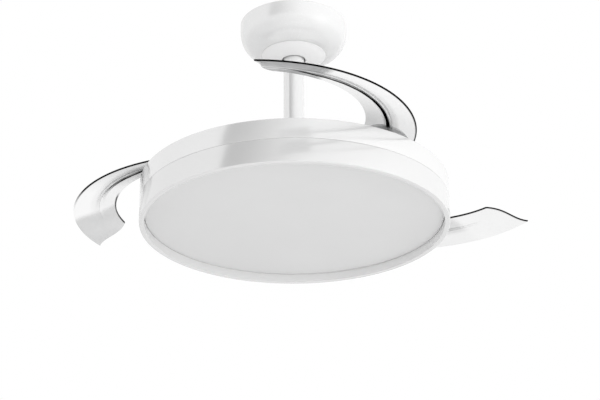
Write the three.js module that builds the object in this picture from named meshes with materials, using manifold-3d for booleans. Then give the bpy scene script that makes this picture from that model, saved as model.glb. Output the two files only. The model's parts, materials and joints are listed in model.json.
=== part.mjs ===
import * as THREE from 'three';
import { mergeVertices } from 'three/addons/utils/BufferGeometryUtils.js';
import Module from 'manifold-3d';

// Ceiling fan with a round lamp and three clear blades that fold in a ring over the lamp.
// Millimetres, +Z up. The origin is the middle of the bracket's top face, on the ceiling.
// Heights in this file count up from the bottom rim of the lamp, and the last lines hang the
// whole fan below the ceiling. Plan angles count anticlockwise seen from above.

// --- general fits ---
const fitGap = 0.3;
const runGap = 0.5;

// --- lamp drum, from the rim upwards ---
const drumRadius = 250;
const drumWall = 2.5;
const rimWidth = 8.4;
const rimBevel = 1.2;
const diffuserRecess = 14.5;
const diffuserThickness = 2;
const diffuserWallHeight = 9.5;
const diffuserFlange = 4.5;
const trayThickness = 1.6;
const trayRimHeight = 6;
const trayBore = 34;
const ledBoardThickness = 1.6;
const ledBoardInner = 45;
const ledBoardMargin = 20;
const driverLength = 104;
const driverWidth = 38;
const driverHeight = 13;
const driverCorner = 4;
const driverCentre = 105;
const driverHeadroom = 4.8;
const motorPlateThickness = 2.5;
const ledgeWidth = 6;
const ledgeThickness = 2.5;
const seamDrop = 7;
const seamOverlap = 3.3;

// --- hollow shaft and motor ---
const shaftRadius = 9;
const shaftBore = 5;
const shaftTail = 12;
const collarRadius = 20;
const collarThickness = 3;
const nutAcross = 28;
const nutThickness = 7;
const harnessRadius = 3.2;
const harnessEnd = 4;
const bearingRadius = 16;
const bearingWidth = 7;
const bearingDish = 0.8;
const bearingSeatWall = 4.7;
const bearingLip = 1.2;
const statorSlots = 9;
const statorRadius = 60;
const statorHub = 25;
const statorToothWidth = 11;
const statorShoeDepth = 4.5;
const statorHeight = 16;
const windingLift = 3.3;
const airGap = 1;
const magnetThickness = 4.7;
const magnetOverhang = 1;
const bellWall = 4;
const bellCap = 3;
const bellHeight = 40;
const bellChamfer = 1;

// --- rotor plate, pivots and synchronising gear ---
const rotorFloorGap = 4.5;
const plateMargin = 25;
const plateThickness = 3;
const plateHoleRadius = 26;
const plateHoleInset = 27;
const pivotBoss = 9;
const pivotBossHeight = 1;
const pinRadius = 5;
const pinHeadRadius = 8;
const pinHeadHeight = 1.8;
const pinNeckDepth = 1;
const pinEnd = 2;
const clipThickness = 1.4;
const clipMouth = 3;
const bushWall = 1.7;
const gearThickness = 4;
const armTeeth = 30;
const syncTeeth = 108;
const pressureAngle = 20;
const backlash = 0.55;
const syncRunGap = 0.9;
const sleeveWall = 4.5;
const stopPostInset = 44;
const stopPostRadius = 5;
const stopPostRise = 2;

// --- blades, arms and clamps ---
const bladeCount = 3;
const swingRange = 93.6;
const swingInPhoto = 53.6;
const firstPivotAngle = -45;
const bladeRootRadius = 41;
const bladeInset = 2;
const bladeLift = 4.8;
const bladePitch = 16.3;
const bladeThickness = 2.6;
const bladeTaper = 12;
const tipAngle = 96.1;
const tipPoint = 2.4;
const tipHook = 5.65;
const ribInset = 4;
const ribWidth = 5;
const ribDepth = 3;
const ribFlank = 1.2;
const ribStart = 0.1;
const ribEnd = 0.9;
const ribFade = 0.12;
const padMargin = 7;
const padLift = 2.3;
const armNeckHeight = 4.3;
const armHubRadius = 10.8;
const armNeckRadius = 16;
const clipRecess = 5.5;
const clipRoom = 2.2;
const clampMargin = 4;
const clampThickness = 2;

// --- return springs ---
const springWire = 1.5;
const springPitch = 2.4;
const springTurns = 2.5;
const springLeg = 9;
const springRoom = 1;

// --- rotor cover ---
const coverGap = 2;
const coverWall = 2.5;
const coverBore = 27;
const coverCrown = 9;
const coverSkirt = 21;
const coverBossRadius = 50;
const coverBossWall = 8;

// --- downrod, coupling and hanger ball ---
const rodRadius = 17.3;
const rodWall = 2;
const couplingRadius = 23;
const couplingChamfer = 4;
const couplingLift = 4;
const couplingSocket = 28;
const couplingBody = 18;
const hitchPinLift = 17;
const hitchPinRadius = 3.7;
const hitchPinEnd = 4;
const clipWire = 0.7;
const clipInset = 2.2;
const cupGap = 9.5;
const cupWall = 1.5;
const cupSag = 1;
const cupHeadroom = 9;
const ballRadius = 30;
const ballBelow = 18;
const ballAbove = 16;
const rodTopInset = 2;
const rodPinLift = 9;
const rodPinRadius = 3;
const rodPinInset = 4;

// --- canopy and ceiling bracket ---
const overallHeight = 368;
const canopyRadius = 89;
const canopyWall = 1.5;
const canopySkirt = 16;
const canopyFloorRadius = 50;
const canopyHole = 32;
const capRadius = 53;
const capHole = 20;
const capDrop = 9;
const capCollar = 28;
const capFlange = 4;
const bracketThickness = 2.5;
const bracketLength = 150;
const bracketWidth = 44;
const bracketCorner = 8;
const bracketHole = 8;
const bracketHoleCentre = [-57, -4];
const legGap = 3;
const legWidth = 34;
const seatHeight = 12;
const seatUnderBall = 3.2;
const seatWall = 3;
const seatClear = 5;
const footReach = 47;
const slotLength = 18;
const slotWidth = 6;
const slotCentre = [50, 13];
const canopyScrewCircle = 41;
const canopyScrewRadius = 2;
const canopyScrewHead = 4;
const canopyScrewHeadHeight = 1.4;
const canopyScrewReach = 7;
const receiverSize = [60, 32, 11];
const receiverClear = 4.2;
const terminalSize = [20, 16, 13];
const terminalCentre = 60;

// --- how finely round shapes are cut ---
const drumSteps = 48;
const wideSteps = 32;
const bodySteps = 24;
const smallSteps = 16;
const tinySteps = 12;

const rad = THREE.MathUtils.degToRad;
const wasm = await Module();
wasm.setup();

// ------------------------------------------------------------------ shape helpers

// Merges shared corners, drops flattened triangles and turns the faces outwards.
function weld(geometry) {
  const bare = new THREE.BufferGeometry();
  bare.setAttribute('position', geometry.getAttribute('position'));
  bare.setIndex(geometry.getIndex());
  const merged = mergeVertices(bare, 1e-4);
  const at = merged.getAttribute('position');
  const order = merged.getIndex().array;
  const corner = (i) => new THREE.Vector3().fromBufferAttribute(at, i);
  const faces = [];
  let volume = 0;
  for (let i = 0; i < order.length; i += 3) {
    const [a, b, c] = [order[i], order[i + 1], order[i + 2]];
    if (a !== b && b !== c && c !== a) {
      faces.push([a, b, c]);
      volume += corner(a).dot(corner(b).cross(corner(c)));
    }
  }
  merged.setIndex(faces.flatMap(([a, b, c]) => (volume < 0 ? [a, c, b] : [a, b, c])));
  return merged;
}

function solidOf(geometry) {
  const closed = weld(geometry);
  const vertProperties = new Float32Array(closed.getAttribute('position').array);
  const triVerts = new Uint32Array(closed.getIndex().array);
  return new wasm.Manifold(new wasm.Mesh({ numProp: 3, vertProperties, triVerts }));
}

function geometryOf(solid) {
  const mesh = solid.getMesh();
  const geometry = new THREE.BufferGeometry();
  geometry.setAttribute('position', new THREE.BufferAttribute(mesh.vertProperties, 3));
  geometry.setIndex(Array.from(mesh.triVerts));
  return geometry;
}

const join = (first, ...rest) =>
  geometryOf(rest.reduce((body, part) => body.add(solidOf(part)), solidOf(first)));
const cut = (first, ...tools) =>
  geometryOf(tools.reduce((body, tool) => body.subtract(solidOf(tool)), solidOf(first)));
const overlap = (first, second) => geometryOf(solidOf(first).intersect(solidOf(second)));

// Turns a profile of [radius, height] points about the Z axis.
function revolve(profile, steps) {
  const points = profile.map(([radius, height]) => new THREE.Vector2(radius, height));
  if (points[0].x > 0) points.push(points[0].clone());
  return weld(new THREE.LatheGeometry(points, steps).rotateX(Math.PI / 2));
}

const ring = (inner, outer, low, high, steps) =>
  revolve([[inner, low], [outer, low], [outer, high], [inner, high]], steps);

const rod = (radius, low, high, steps) =>
  new THREE.CylinderGeometry(radius, radius, high - low, steps)
    .rotateX(Math.PI / 2)
    .translate(0, 0, (low + high) / 2);

const crossRod = (radius, reach, height, steps) =>
  new THREE.CylinderGeometry(radius, radius, 2 * reach, steps)
    .rotateZ(Math.PI / 2)
    .translate(0, 0, height);

const block = (x0, x1, y0, y1, low, high) =>
  new THREE.BoxGeometry(x1 - x0, y1 - y0, high - low)
    .translate((x0 + x1) / 2, (y0 + y1) / 2, (low + high) / 2);

const polar = (radius, degrees) =>
  new THREE.Vector2(radius * Math.cos(rad(degrees)), radius * Math.sin(rad(degrees)));

const plate = (shape, low, high, curveSegments = 6) =>
  new THREE.ExtrudeGeometry(shape, { depth: high - low, bevelEnabled: false, curveSegments })
    .translate(0, 0, low);

// Rounded rectangle, centred on the origin.
function roundedRectangle(length, width, corner) {
  const [x, y] = [length / 2, width / 2];
  const shape = new THREE.Shape();
  shape.absarc(x - corner, y - corner, corner, 0, Math.PI / 2);
  shape.absarc(corner - x, y - corner, corner, Math.PI / 2, Math.PI);
  shape.absarc(corner - x, corner - y, corner, Math.PI, 1.5 * Math.PI);
  shape.absarc(x - corner, corner - y, corner, 1.5 * Math.PI, 2 * Math.PI);
  return shape;
}

// Curved slot about the axis, with round ends, as a list of points.
function arcSlot(radius, halfWidth, start, end, steps) {
  const points = [];
  const sweep = (middle, size, from, to, count) => {
    for (let i = 0; i <= count; i++) {
      points.push(middle.clone().add(polar(size, from + ((to - from) * i) / count)));
    }
  };
  const centre = new THREE.Vector2();
  sweep(centre, radius + halfWidth, start, end, steps);
  sweep(polar(radius, end), halfWidth, end + 45, end + 135, 2);
  sweep(centre, radius - halfWidth, end, start, steps);
  sweep(polar(radius, start), halfWidth, start + 225, start + 315, 2);
  return new THREE.Path(points);
}

// Joins closed sections, all with the same number of points, into one body with flat ends.
// flat gives the section's points in its own plane, for the end faces.
function loft(sections, flat) {
  const count = sections[0].length;
  const points = sections.flat();
  const faces = [];
  for (let s = 0; s + 1 < sections.length; s++) {
    for (let i = 0; i < count; i++) {
      const [a, b] = [s * count + i, s * count + ((i + 1) % count)];
      faces.push(a, b, b + count, a, b + count, a + count);
    }
  }
  const last = (sections.length - 1) * count;
  for (const [a, b, c] of THREE.ShapeUtils.triangulateShape(flat(sections[0]), [])) {
    faces.push(a, c, b);
  }
  for (const [a, b, c] of THREE.ShapeUtils.triangulateShape(flat(sections.at(-1)), [])) {
    faces.push(last + a, last + b, last + c);
  }
  const geometry = new THREE.BufferGeometry().setFromPoints(points);
  geometry.setIndex(faces);
  return weld(geometry);
}

// ------------------------------------------------------------------ worked-out sizes

const bladeStep = 360 / bladeCount;
const bladeNumbers = Array.from({ length: bladeCount }, (_, i) => i);
const drumInner = drumRadius - drumWall;
const rimInner = drumRadius - rimWidth;
const bladeOuter = drumRadius - bladeInset;
const pivotRadius = bladeOuter - bladeRootRadius;
const plateRadius = pivotRadius + plateMargin;
const ribRadius = pivotRadius - ribInset;
const coverRadius = pivotRadius - bladeRootRadius - coverGap;

const gearModule = (2 * pivotRadius) / (armTeeth + syncTeeth);
const armPitchRadius = (gearModule * armTeeth) / 2;
const syncPitchRadius = (gearModule * syncTeeth) / 2;
const syncTurn = (swingRange * armTeeth) / syncTeeth;
const stopPostCircle = syncPitchRadius - stopPostInset;

const diffuserTop = diffuserRecess + diffuserWallHeight;
const trayHeight = diffuserTop + diffuserThickness + fitGap;
const driverLow = trayHeight + trayThickness + fitGap;
const motorPlateHeight = driverLow + driverHeight + driverHeadroom;
const motorPlateTop = motorPlateHeight + motorPlateThickness;
const seamHeight = motorPlateHeight - seamDrop;
const collarTop = motorPlateTop + fitGap + collarThickness;
const plateHeight = motorPlateTop + rotorFloorGap;
const plateTop = plateHeight + plateThickness;
const springHeight = springPitch * springTurns + springWire;
const armLow = plateTop + pivotBossHeight + fitGap;
const gearHeight = plateTop + pivotBossHeight + springHeight + 2 * springRoom;
const gearTop = gearHeight + gearThickness;
const padHeight = gearTop + armNeckHeight;
const drumHeight = padHeight - padLift;

const bellTop = plateTop + bellHeight;
const bellInner = statorRadius + airGap + magnetThickness + fitGap;
const bellRadius = bellInner + bellWall;
const statorLow = (plateTop + bellTop - bellCap - statorHeight) / 2;

const bladeEdgeHeight = drumHeight + bladeLift;
const underside = (radius) => bladeEdgeHeight + (bladeOuter - radius) * Math.tan(rad(bladePitch));
const padRadius = bladeRootRadius - padMargin;
const clampRadius = padRadius - clampMargin;
const bushRadius = pinRadius + fitGap + bushWall;
const armBore = bushRadius + fitGap;
const clipHeight = underside(pivotRadius) - clipRecess;

const coverEdgeHeight = underside(pivotRadius - bladeRootRadius) + bladeThickness;
const couplingHeight = coverEdgeHeight + coverCrown + couplingLift;
const socketHeight = couplingHeight + couplingBody;
const couplingTop = socketHeight + couplingSocket;
const hitchHeight = socketHeight + hitchPinLift;
const hitchPinReach = couplingRadius + hitchPinEnd;
const cupRadius = couplingRadius + cupGap + cupWall;
const cupLow = couplingHeight - cupSag;
const cupTop = couplingTop + cupHeadroom;

const bracketLow = overallHeight - bracketThickness;
const receiverLow = bracketLow - fitGap - receiverSize[2];
const ballHeight = receiverLow - receiverClear - ballAbove;
const seatLow = ballHeight - ballBelow - seatUnderBall;
const canopyFloorHeight = seatLow - fitGap - canopyWall;
const bracketLeg = ballRadius + legGap;
const seatRadius = bracketLeg + seatWall;
const rodTop = ballHeight + ballAbove - rodTopInset;
const rodPinHeight = ballHeight + rodPinLift;

// ------------------------------------------------------------------ finishes

const finish = (color, roughness, metalness = 0) =>
  new THREE.MeshStandardMaterial({ color, roughness, metalness });
const whiteGloss = finish(0xf2f2f2, 0.25);
const whiteMatt = finish(0xeeeeee, 0.5);
const opal = finish(0xdcdcdc, 0.7);
const clear = new THREE.MeshStandardMaterial({
  color: 0xe6e8ea, roughness: 0.08, metalness: 0, transparent: true, opacity: 0.45,
});
const steel = finish(0xb4b8bc, 0.35, 1);
const darkSteel = finish(0x55585c, 0.45, 1);
const aluminium = finish(0xc4c6c8, 0.4, 1);
const copper = finish(0xb5653a, 0.4, 1);
const brass = finish(0xc2a35a, 0.35, 1);
const nylon = finish(0xe4e2da, 0.55);
const boardWhite = finish(0xf4f4f0, 0.6);
const darkPlastic = finish(0x2c2d30, 0.5);

// ------------------------------------------------------------------ lamp drum (hangs still)

function upperHousing() {
  return revolve([
    [drumInner, seamHeight + fitGap],
    [drumRadius, seamHeight + fitGap],
    [drumRadius, drumHeight - rimBevel],
    [drumRadius - rimBevel, drumHeight],
    [drumInner, drumHeight],
  ], drumSteps);
}

// Ring inside the seam that joins the two bands and carries the motor plate on its ledge.
function seamRing() {
  const outer = drumInner - fitGap;
  const ledgeTop = motorPlateHeight - fitGap;
  return revolve([
    [drumInner - ledgeWidth, ledgeTop - ledgeThickness],
    [outer - drumWall, ledgeTop - ledgeThickness],
    [outer - drumWall, seamHeight - seamOverlap],
    [outer, seamHeight - seamOverlap],
    [outer, ledgeTop],
    [drumInner - ledgeWidth, ledgeTop],
  ], drumSteps);
}

const motorPlate = () =>
  ring(shaftRadius + fitGap, drumInner - 2 * runGap, motorPlateHeight, motorPlateTop, wideSteps);

function lampRing() {
  return revolve([
    [rimInner, 0],
    [drumRadius - rimBevel, 0],
    [drumRadius, rimBevel],
    [drumRadius, seamHeight],
    [drumInner, seamHeight],
    [drumInner, drumWall],
    [rimInner + drumWall, drumWall],
    [rimInner + drumWall, diffuserTop - fitGap],
    [rimInner, diffuserTop - fitGap],
  ], drumSteps);
}

function diffuser() {
  const outer = rimInner - fitGap;
  const inner = outer - diffuserThickness;
  return revolve([
    [0, diffuserRecess],
    [outer, diffuserRecess],
    [outer, diffuserTop],
    [outer + diffuserFlange, diffuserTop],
    [outer + diffuserFlange, diffuserTop + diffuserThickness],
    [inner, diffuserTop + diffuserThickness],
    [inner, diffuserRecess + diffuserThickness],
    [0, diffuserRecess + diffuserThickness],
  ], drumSteps);
}

function lampTray() {
  const outer = drumInner - 2 * runGap;
  return revolve([
    [trayBore, trayHeight],
    [outer, trayHeight],
    [outer, trayHeight + trayRimHeight],
    [outer - trayThickness, trayHeight + trayRimHeight],
    [outer - trayThickness, trayHeight + trayThickness],
    [trayBore, trayHeight + trayThickness],
  ], bodySteps);
}

function ledBoard() {
  const top = trayHeight - fitGap;
  return ring(ledBoardInner, rimInner - ledBoardMargin, top - ledBoardThickness, top, bodySteps);
}

function ledDriver() {
  const outline = roundedRectangle(driverLength, driverWidth, driverCorner);
  return plate(outline, driverLow, driverLow + driverHeight, 2)
    .translate(driverCentre, 0, 0);
}

// ------------------------------------------------------------------ motor

function motorShaft() {
  return revolve([
    [shaftBore, motorPlateHeight - shaftTail],
    [shaftRadius, motorPlateHeight - shaftTail],
    [shaftRadius, motorPlateTop + fitGap],
    [collarRadius, motorPlateTop + fitGap],
    [collarRadius, collarTop],
    [shaftRadius, collarTop],
    [shaftRadius, socketHeight - fitGap],
    [shaftBore, socketHeight - fitGap],
  ], smallSteps);
}

function shaftNut() {
  const top = motorPlateHeight - fitGap;
  const hexagon = rod(nutAcross / Math.sqrt(3), top - nutThickness, top, 6);
  return cut(hexagon, rod(shaftRadius + fitGap, top - 2 * nutThickness, top + 1, smallSteps));
}

function bearing(low) {
  const inner = shaftRadius + fitGap;
  const middle = (inner + bearingRadius) / 2;
  return revolve([
    [inner, low],
    [middle, low + bearingDish],
    [bearingRadius, low],
    [bearingRadius, low + bearingWidth],
    [middle, low + bearingWidth - bearingDish],
    [inner, low + bearingWidth],
  ], smallSteps);
}

// Laminated core with T-shaped teeth that face outwards.
function statorCore() {
  const half = statorToothWidth / 2;
  const pitch = 360 / statorSlots;
  const shoe = statorRadius - statorShoeDepth;
  const points = [];
  for (let i = 0; i < statorSlots; i++) {
    const turn = rad(i * pitch);
    const put = (point) => points.push(point.rotateAround(new THREE.Vector2(), turn));
    put(new THREE.Vector2(statorHub, -half));
    put(new THREE.Vector2(shoe, -half));
    put(polar(shoe, -0.4 * pitch));
    put(polar(statorRadius, -0.42 * pitch));
    put(polar(statorRadius, 0));
    put(polar(statorRadius, 0.42 * pitch));
    put(polar(shoe, 0.4 * pitch));
    put(new THREE.Vector2(shoe, half));
    put(new THREE.Vector2(statorHub, half));
  }
  const shape = new THREE.Shape(points);
  shape.holes.push(new THREE.Path().absarc(0, 0, shaftRadius + fitGap, 0, 2 * Math.PI));
  return plate(shape, statorLow, statorLow + statorHeight, 8);
}

// Copper wound round every tooth, with the teeth's room taken out.
function statorWinding() {
  const inner = statorHub + fitGap + 1;
  const outer = statorRadius - statorShoeDepth - 2;
  const low = statorLow;
  const high = low + statorHeight;
  const room = statorToothWidth / 2 + fitGap;
  const coils = ring(inner, outer, low - windingLift, high + windingLift, 2 * statorSlots);
  const teeth = [];
  for (let i = 0; i < statorSlots; i++) {
    teeth.push(block(inner - 2, outer + 2, -room, room, low - fitGap, high + fitGap)
      .rotateZ(rad((i * 360) / statorSlots)));
  }
  return cut(coils, ...teeth);
}

function magnetRing() {
  const inner = statorRadius + airGap;
  const low = statorLow - magnetOverhang;
  const high = statorLow + statorHeight + magnetOverhang;
  return ring(inner, inner + magnetThickness, low, high, bodySteps);
}

function rotorBell() {
  const seat = bearingRadius + fitGap;
  const capLow = bellTop - bellCap;
  const hubLow = bellTop - bearingLip - bearingWidth - fitGap;
  return revolve([
    [bellInner, plateTop + fitGap],
    [bellRadius, plateTop + fitGap],
    [bellRadius, bellTop - bellChamfer],
    [bellRadius - bellChamfer, bellTop],
    [shaftRadius + 1, bellTop],
    [shaftRadius + 1, bellTop - bearingLip],
    [seat, bellTop - bearingLip],
    [seat, hubLow],
    [seat + bearingSeatWall, hubLow],
    [seat + bearingSeatWall, capLow],
    [bellInner, capLow],
  ], bodySteps);
}

// ------------------------------------------------------------------ gears

const involute = (angle) => Math.tan(angle) - angle;

// Half the angle that a tooth fills at a radius, in degrees.
function toothHalfAngle(radius, pitchRadius) {
  const base = pitchRadius * Math.cos(rad(pressureAngle));
  const thickness = (Math.PI * gearModule) / 2 - backlash;
  const lean = involute(rad(pressureAngle)) - involute(Math.acos(Math.min(1, base / radius)));
  return THREE.MathUtils.radToDeg(thickness / (2 * pitchRadius) + lean);
}

// Outline of the teeth whose middles stand at the given angles.
function toothOutline(pitchRadius, middles) {
  const radii = [pitchRadius - 1.05 * gearModule, pitchRadius, pitchRadius + 0.8 * gearModule];
  return middles.flatMap((middle) => [
    ...radii.map((r) => polar(r, middle - toothHalfAngle(r, pitchRadius))),
    ...radii.toReversed().map((r) => polar(r, middle + toothHalfAngle(r, pitchRadius))),
  ]);
}

// Toothed ring that keeps the three blades in step. It is drawn with the blades folded:
// a gap between two teeth then faces each pivot, and the stop slots start at their posts.
function syncGear() {
  const pitch = 360 / syncTeeth;
  const rootRadius = syncPitchRadius - 1.05 * gearModule;
  const outline = [];
  for (const blade of bladeNumbers) {
    const middles = [];
    for (let a = -1.5 * pitch; a < syncTurn + 2 * pitch; a += pitch) {
      middles.push(bladeStep * blade + a);
    }
    outline.push(...toothOutline(syncPitchRadius, middles));
    const from = middles.at(-1) + pitch;
    const to = bladeStep * (blade + 1) - 2.5 * pitch;
    for (let i = 0; i <= 6; i++) outline.push(polar(rootRadius, from + ((to - from) * i) / 6));
  }
  const shape = new THREE.Shape(outline);
  const bore = bellRadius + syncRunGap;
  shape.holes.push(new THREE.Path().absarc(0, 0, bore + sleeveWall / 2, 0, 2 * Math.PI));
  const slack = THREE.MathUtils.radToDeg(runGap / stopPostCircle);
  for (const blade of bladeNumbers) {
    const start = bladeStep * (blade + 0.5);
    shape.holes.push(arcSlot(stopPostCircle, stopPostRadius + runGap, start - slack,
      start + syncTurn + slack, 4));
  }
  const sleeve = ring(bore, bore + sleeveWall, plateTop + fitGap, gearTop, wideSteps);
  return join(plate(shape, gearHeight, gearTop, 12), sleeve);
}

// ------------------------------------------------------------------ rotor plate and pivots

const plateHole = () => rod(plateHoleRadius, plateHeight - 1, plateTop + 1, tinySteps);

function rotorPlate() {
  const seat = bearingRadius + fitGap;
  const hubTop = plateHeight + bearingLip + fitGap + bearingWidth;
  let body = revolve([
    [shaftRadius + 2, plateHeight],
    [plateRadius, plateHeight],
    [plateRadius, plateTop],
    [seat + bearingSeatWall, plateTop],
    [seat + bearingSeatWall, hubTop],
    [seat, hubTop],
    [seat, plateHeight + bearingLip],
    [shaftRadius + 2, plateHeight + bearingLip],
  ], wideSteps);
  const atAngle = (geometry, radius, degrees) => {
    const spot = polar(radius, degrees);
    return geometry.translate(spot.x, spot.y, 0);
  };
  const boss = () => rod(pivotBoss, plateHeight + 1, plateTop + pivotBossHeight, smallSteps);
  const post = () => rod(stopPostRadius, plateHeight + 1, gearTop + stopPostRise, tinySteps);
  for (const blade of bladeNumbers) {
    const angle = bladeStep * blade;
    body = join(body,
      atAngle(boss(), pivotRadius, angle),
      atAngle(post(), stopPostCircle, angle + bladeStep / 2));
    body = cut(body,
      atAngle(rod(pinRadius + fitGap, plateHeight - 1, gearHeight, tinySteps), pivotRadius, angle),
      atAngle(plateHole(), pivotRadius - plateHoleInset, angle + bladeStep / 3),
      atAngle(plateHole(), pivotRadius - plateHoleInset, angle + (2 * bladeStep) / 3));
  }
  return body;
}

function pivotPin() {
  const neck = pinRadius - pinNeckDepth;
  const neckTop = clipHeight + clipThickness + fitGap;
  return revolve([
    [0, plateHeight - fitGap - pinHeadHeight],
    [pinHeadRadius, plateHeight - fitGap - pinHeadHeight],
    [pinHeadRadius, plateHeight - fitGap],
    [pinRadius, plateHeight - fitGap],
    [pinRadius, clipHeight - fitGap],
    [neck, clipHeight - fitGap],
    [neck, neckTop],
    [pinRadius, neckTop],
    [pinRadius, neckTop + pinEnd],
    [0, neckTop + pinEnd],
  ], tinySteps);
}

// Snap ring in the pin's groove, open on one side.
function pinClip() {
  const inner = pinRadius - pinNeckDepth + fitGap;
  const outer = armBore + clipRoom - 4 * fitGap;
  const body = ring(inner, outer, clipHeight, clipHeight + clipThickness, tinySteps);
  const half = clipMouth / 2;
  return cut(body, block(0, 2 * armBore, -half, half, clipHeight - 1, clipHeight + clipThickness + 1));
}

const pivotBush = () => ring(pinRadius + fitGap, bushRadius, armLow, clipHeight - runGap, tinySteps);

// Torsion spring round the arm's hub: one unbroken wire with a straight leg at each end.
function returnSpring() {
  const coil = (armHubRadius + runGap + springWire / 2) / Math.cos(rad(22.5));
  const low = armLow + springWire / 2;
  const centres = [];
  const steps = Math.round(8 * springTurns);
  const place = (angle, leg) => {
    const spot = polar(coil, angle);
    const along = polar(leg, angle + 90);
    return new THREE.Vector3(spot.x + along.x, spot.y + along.y, low + (springPitch * angle) / 360);
  };
  centres.push(place(0, -springLeg), place(0, -springLeg / 2));
  for (let i = 0; i <= steps; i++) centres.push(place((i * 360 * springTurns) / steps, 0));
  centres.push(place(360 * springTurns, springLeg / 2), place(360 * springTurns, springLeg));
  centres[0].z = centres[2].z;
  centres[1].z = centres[2].z;
  reportGap(centres.slice(2, -2));
  const up = new THREE.Vector3(0, 0, 1);
  const sections = centres.map((centre, i) => {
    const ahead = centres[Math.min(i + 1, centres.length - 1)];
    const behind = centres[Math.max(i - 1, 0)];
    const along = ahead.clone().sub(behind).setZ(0).normalize();
    const side = new THREE.Vector3().crossVectors(along, up);
    return [0, 72, 144, 216, 288].map((degrees) => centre.clone()
      .addScaledVector(side, (springWire / 2) * Math.cos(rad(degrees)))
      .addScaledVector(up, (springWire / 2) * Math.sin(rad(degrees))));
  });
  const pentagon = [0, 72, 144, 216, 288].map((degrees) => polar(1, degrees));
  return loft(sections, () => pentagon);
}

// Prints the least gap between neighbouring turns of a spring.
function reportGap(centres) {
  let least = Infinity;
  for (let i = 0; i < centres.length; i++) {
    for (let j = i + 5; j < centres.length; j++) {
      least = Math.min(least, centres[i].distanceTo(centres[j]) - springWire);
    }
  }
  console.log(`return spring, least gap to itself: ${least.toFixed(2)} mm`);
}

// ------------------------------------------------------------------ blades
// Blades, arms and clamps are drawn folded, with the fan's axis at the origin and the pivot
// on +X, and then moved so that the pivot is their own origin.

const fromPivot = (geometry) => geometry.translate(-pivotRadius, 0, 0);

// How far round the fan the tip edge lies, from the inner edge (0) to the outer edge (1).
const tipEdge = (across) => tipAngle + tipPoint * across ** 6 - tipHook * (1 - across) ** 5;

// One cross-section. reach runs from 0 at the pivot to 1 at the tip; rootTurn is the angle
// of a section in the round end behind the pivot.
function bladeSection(reach, rootTurn) {
  const offset = pivotRadius * Math.cos(rad(rootTurn));
  const spread = Math.sqrt(bladeRootRadius ** 2 - (pivotRadius * Math.sin(rad(rootTurn))) ** 2);
  const outer = Math.min(bladeOuter, offset + spread);
  const inner = offset - spread + bladeTaper * (reach * tipAngle) / 90;
  const ribHalf = ribWidth / 2;
  const fadeIn = THREE.MathUtils.smoothstep(reach, ribStart, ribStart + ribFade);
  const fadeOut = 1 - THREE.MathUtils.smoothstep(reach, ribEnd - ribFade, ribEnd);
  const drop = ribDepth * fadeIn * fadeOut;
  const mix = THREE.MathUtils.lerp;
  const ribIn = ribRadius - ribHalf - ribFlank;
  const ribOut = ribRadius + ribHalf + ribFlank;
  const lower = [
    [inner, 0], [mix(inner, ribIn, 0.45), 0], [ribIn, 0],
    [ribRadius - ribHalf, -drop], [ribRadius + ribHalf, -drop],
    [ribOut, 0], [mix(ribOut, outer, 0.45), 0], [mix(ribOut, outer, 0.85), 0], [outer, 0],
  ];
  const upper = [
    [outer, bladeThickness], [mix(ribOut, outer, 0.85), bladeThickness],
    [mix(ribOut, outer, 0.45), bladeThickness], [ribRadius, bladeThickness],
    [mix(inner, ribIn, 0.45), bladeThickness], [inner, bladeThickness],
  ];
  return [...lower, ...upper].map(([radius, rise]) => {
    const across = (radius - inner) / (outer - inner);
    const spot = polar(radius, rootTurn - reach * tipEdge(across));
    return new THREE.Vector3(spot.x, spot.y, underside(radius) + rise);
  });
}

function blade() {
  const rootEnd = 0.98 * THREE.MathUtils.radToDeg(Math.asin(bladeRootRadius / pivotRadius));
  const sections = [];
  for (const share of [1, 0.9, 0.7, 0.4]) sections.push(bladeSection(0, rootEnd * share));
  const stations = 12;
  for (let i = 0; i <= stations; i++) sections.push(bladeSection(i / stations, 0));
  const flat = (section) => section.map((p) => new THREE.Vector2(Math.hypot(p.x, p.y), p.z));
  return fromPivot(loft(sections, flat));
}

// Solid under, or sheet along, the blade ring's underside, used to shape what touches it.
function conePart(lowOf, highOf) {
  const near = pivotRadius - 1.5 * bladeRootRadius;
  const far = pivotRadius + 1.5 * bladeRootRadius;
  return revolve([
    [near, lowOf(near)],
    [far, lowOf(far)],
    [far, highOf(far)],
    [near, highOf(near)],
  ], drumSteps);
}

function bladeArm() {
  const atPivot = (geometry) => geometry.translate(pivotRadius, 0, 0);
  const pad = overlap(
    atPivot(rod(padRadius, padHeight, 2 * padHeight, bodySteps)),
    conePart(() => padHeight - 5, (radius) => underside(radius) - 2 * fitGap));
  const pitch = 360 / armTeeth;
  const middles = [];
  for (let a = 180 - swingRange - pitch; a < 180 + 1.5 * pitch; a += pitch) middles.push(a);
  const aligned = middles.map((a) => 180 + Math.round((a - 180) / pitch) * pitch);
  const sector = new THREE.Shape([new THREE.Vector2(), ...toothOutline(armPitchRadius, aligned)]);
  const body = join(pad,
    atPivot(rod(armNeckRadius, gearHeight + 1, padHeight + 1, smallSteps)),
    atPivot(rod(armHubRadius, armLow, gearTop, smallSteps)),
    atPivot(plate(sector, gearHeight, gearTop)));
  return fromPivot(cut(body,
    atPivot(rod(armBore, armLow - 1, underside(0), smallSteps)),
    atPivot(rod(armBore + clipRoom, clipHeight - fitGap, underside(0), smallSteps))));
}

function bladeClamp() {
  const rise = bladeThickness + 2 * fitGap;
  return fromPivot(overlap(
    rod(clampRadius, drumHeight, 2 * drumHeight, bodySteps).translate(pivotRadius, 0, 0),
    conePart((r) => underside(r) + rise, (r) => underside(r) + rise + clampThickness)));
}

// ------------------------------------------------------------------ rotor cover

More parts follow.
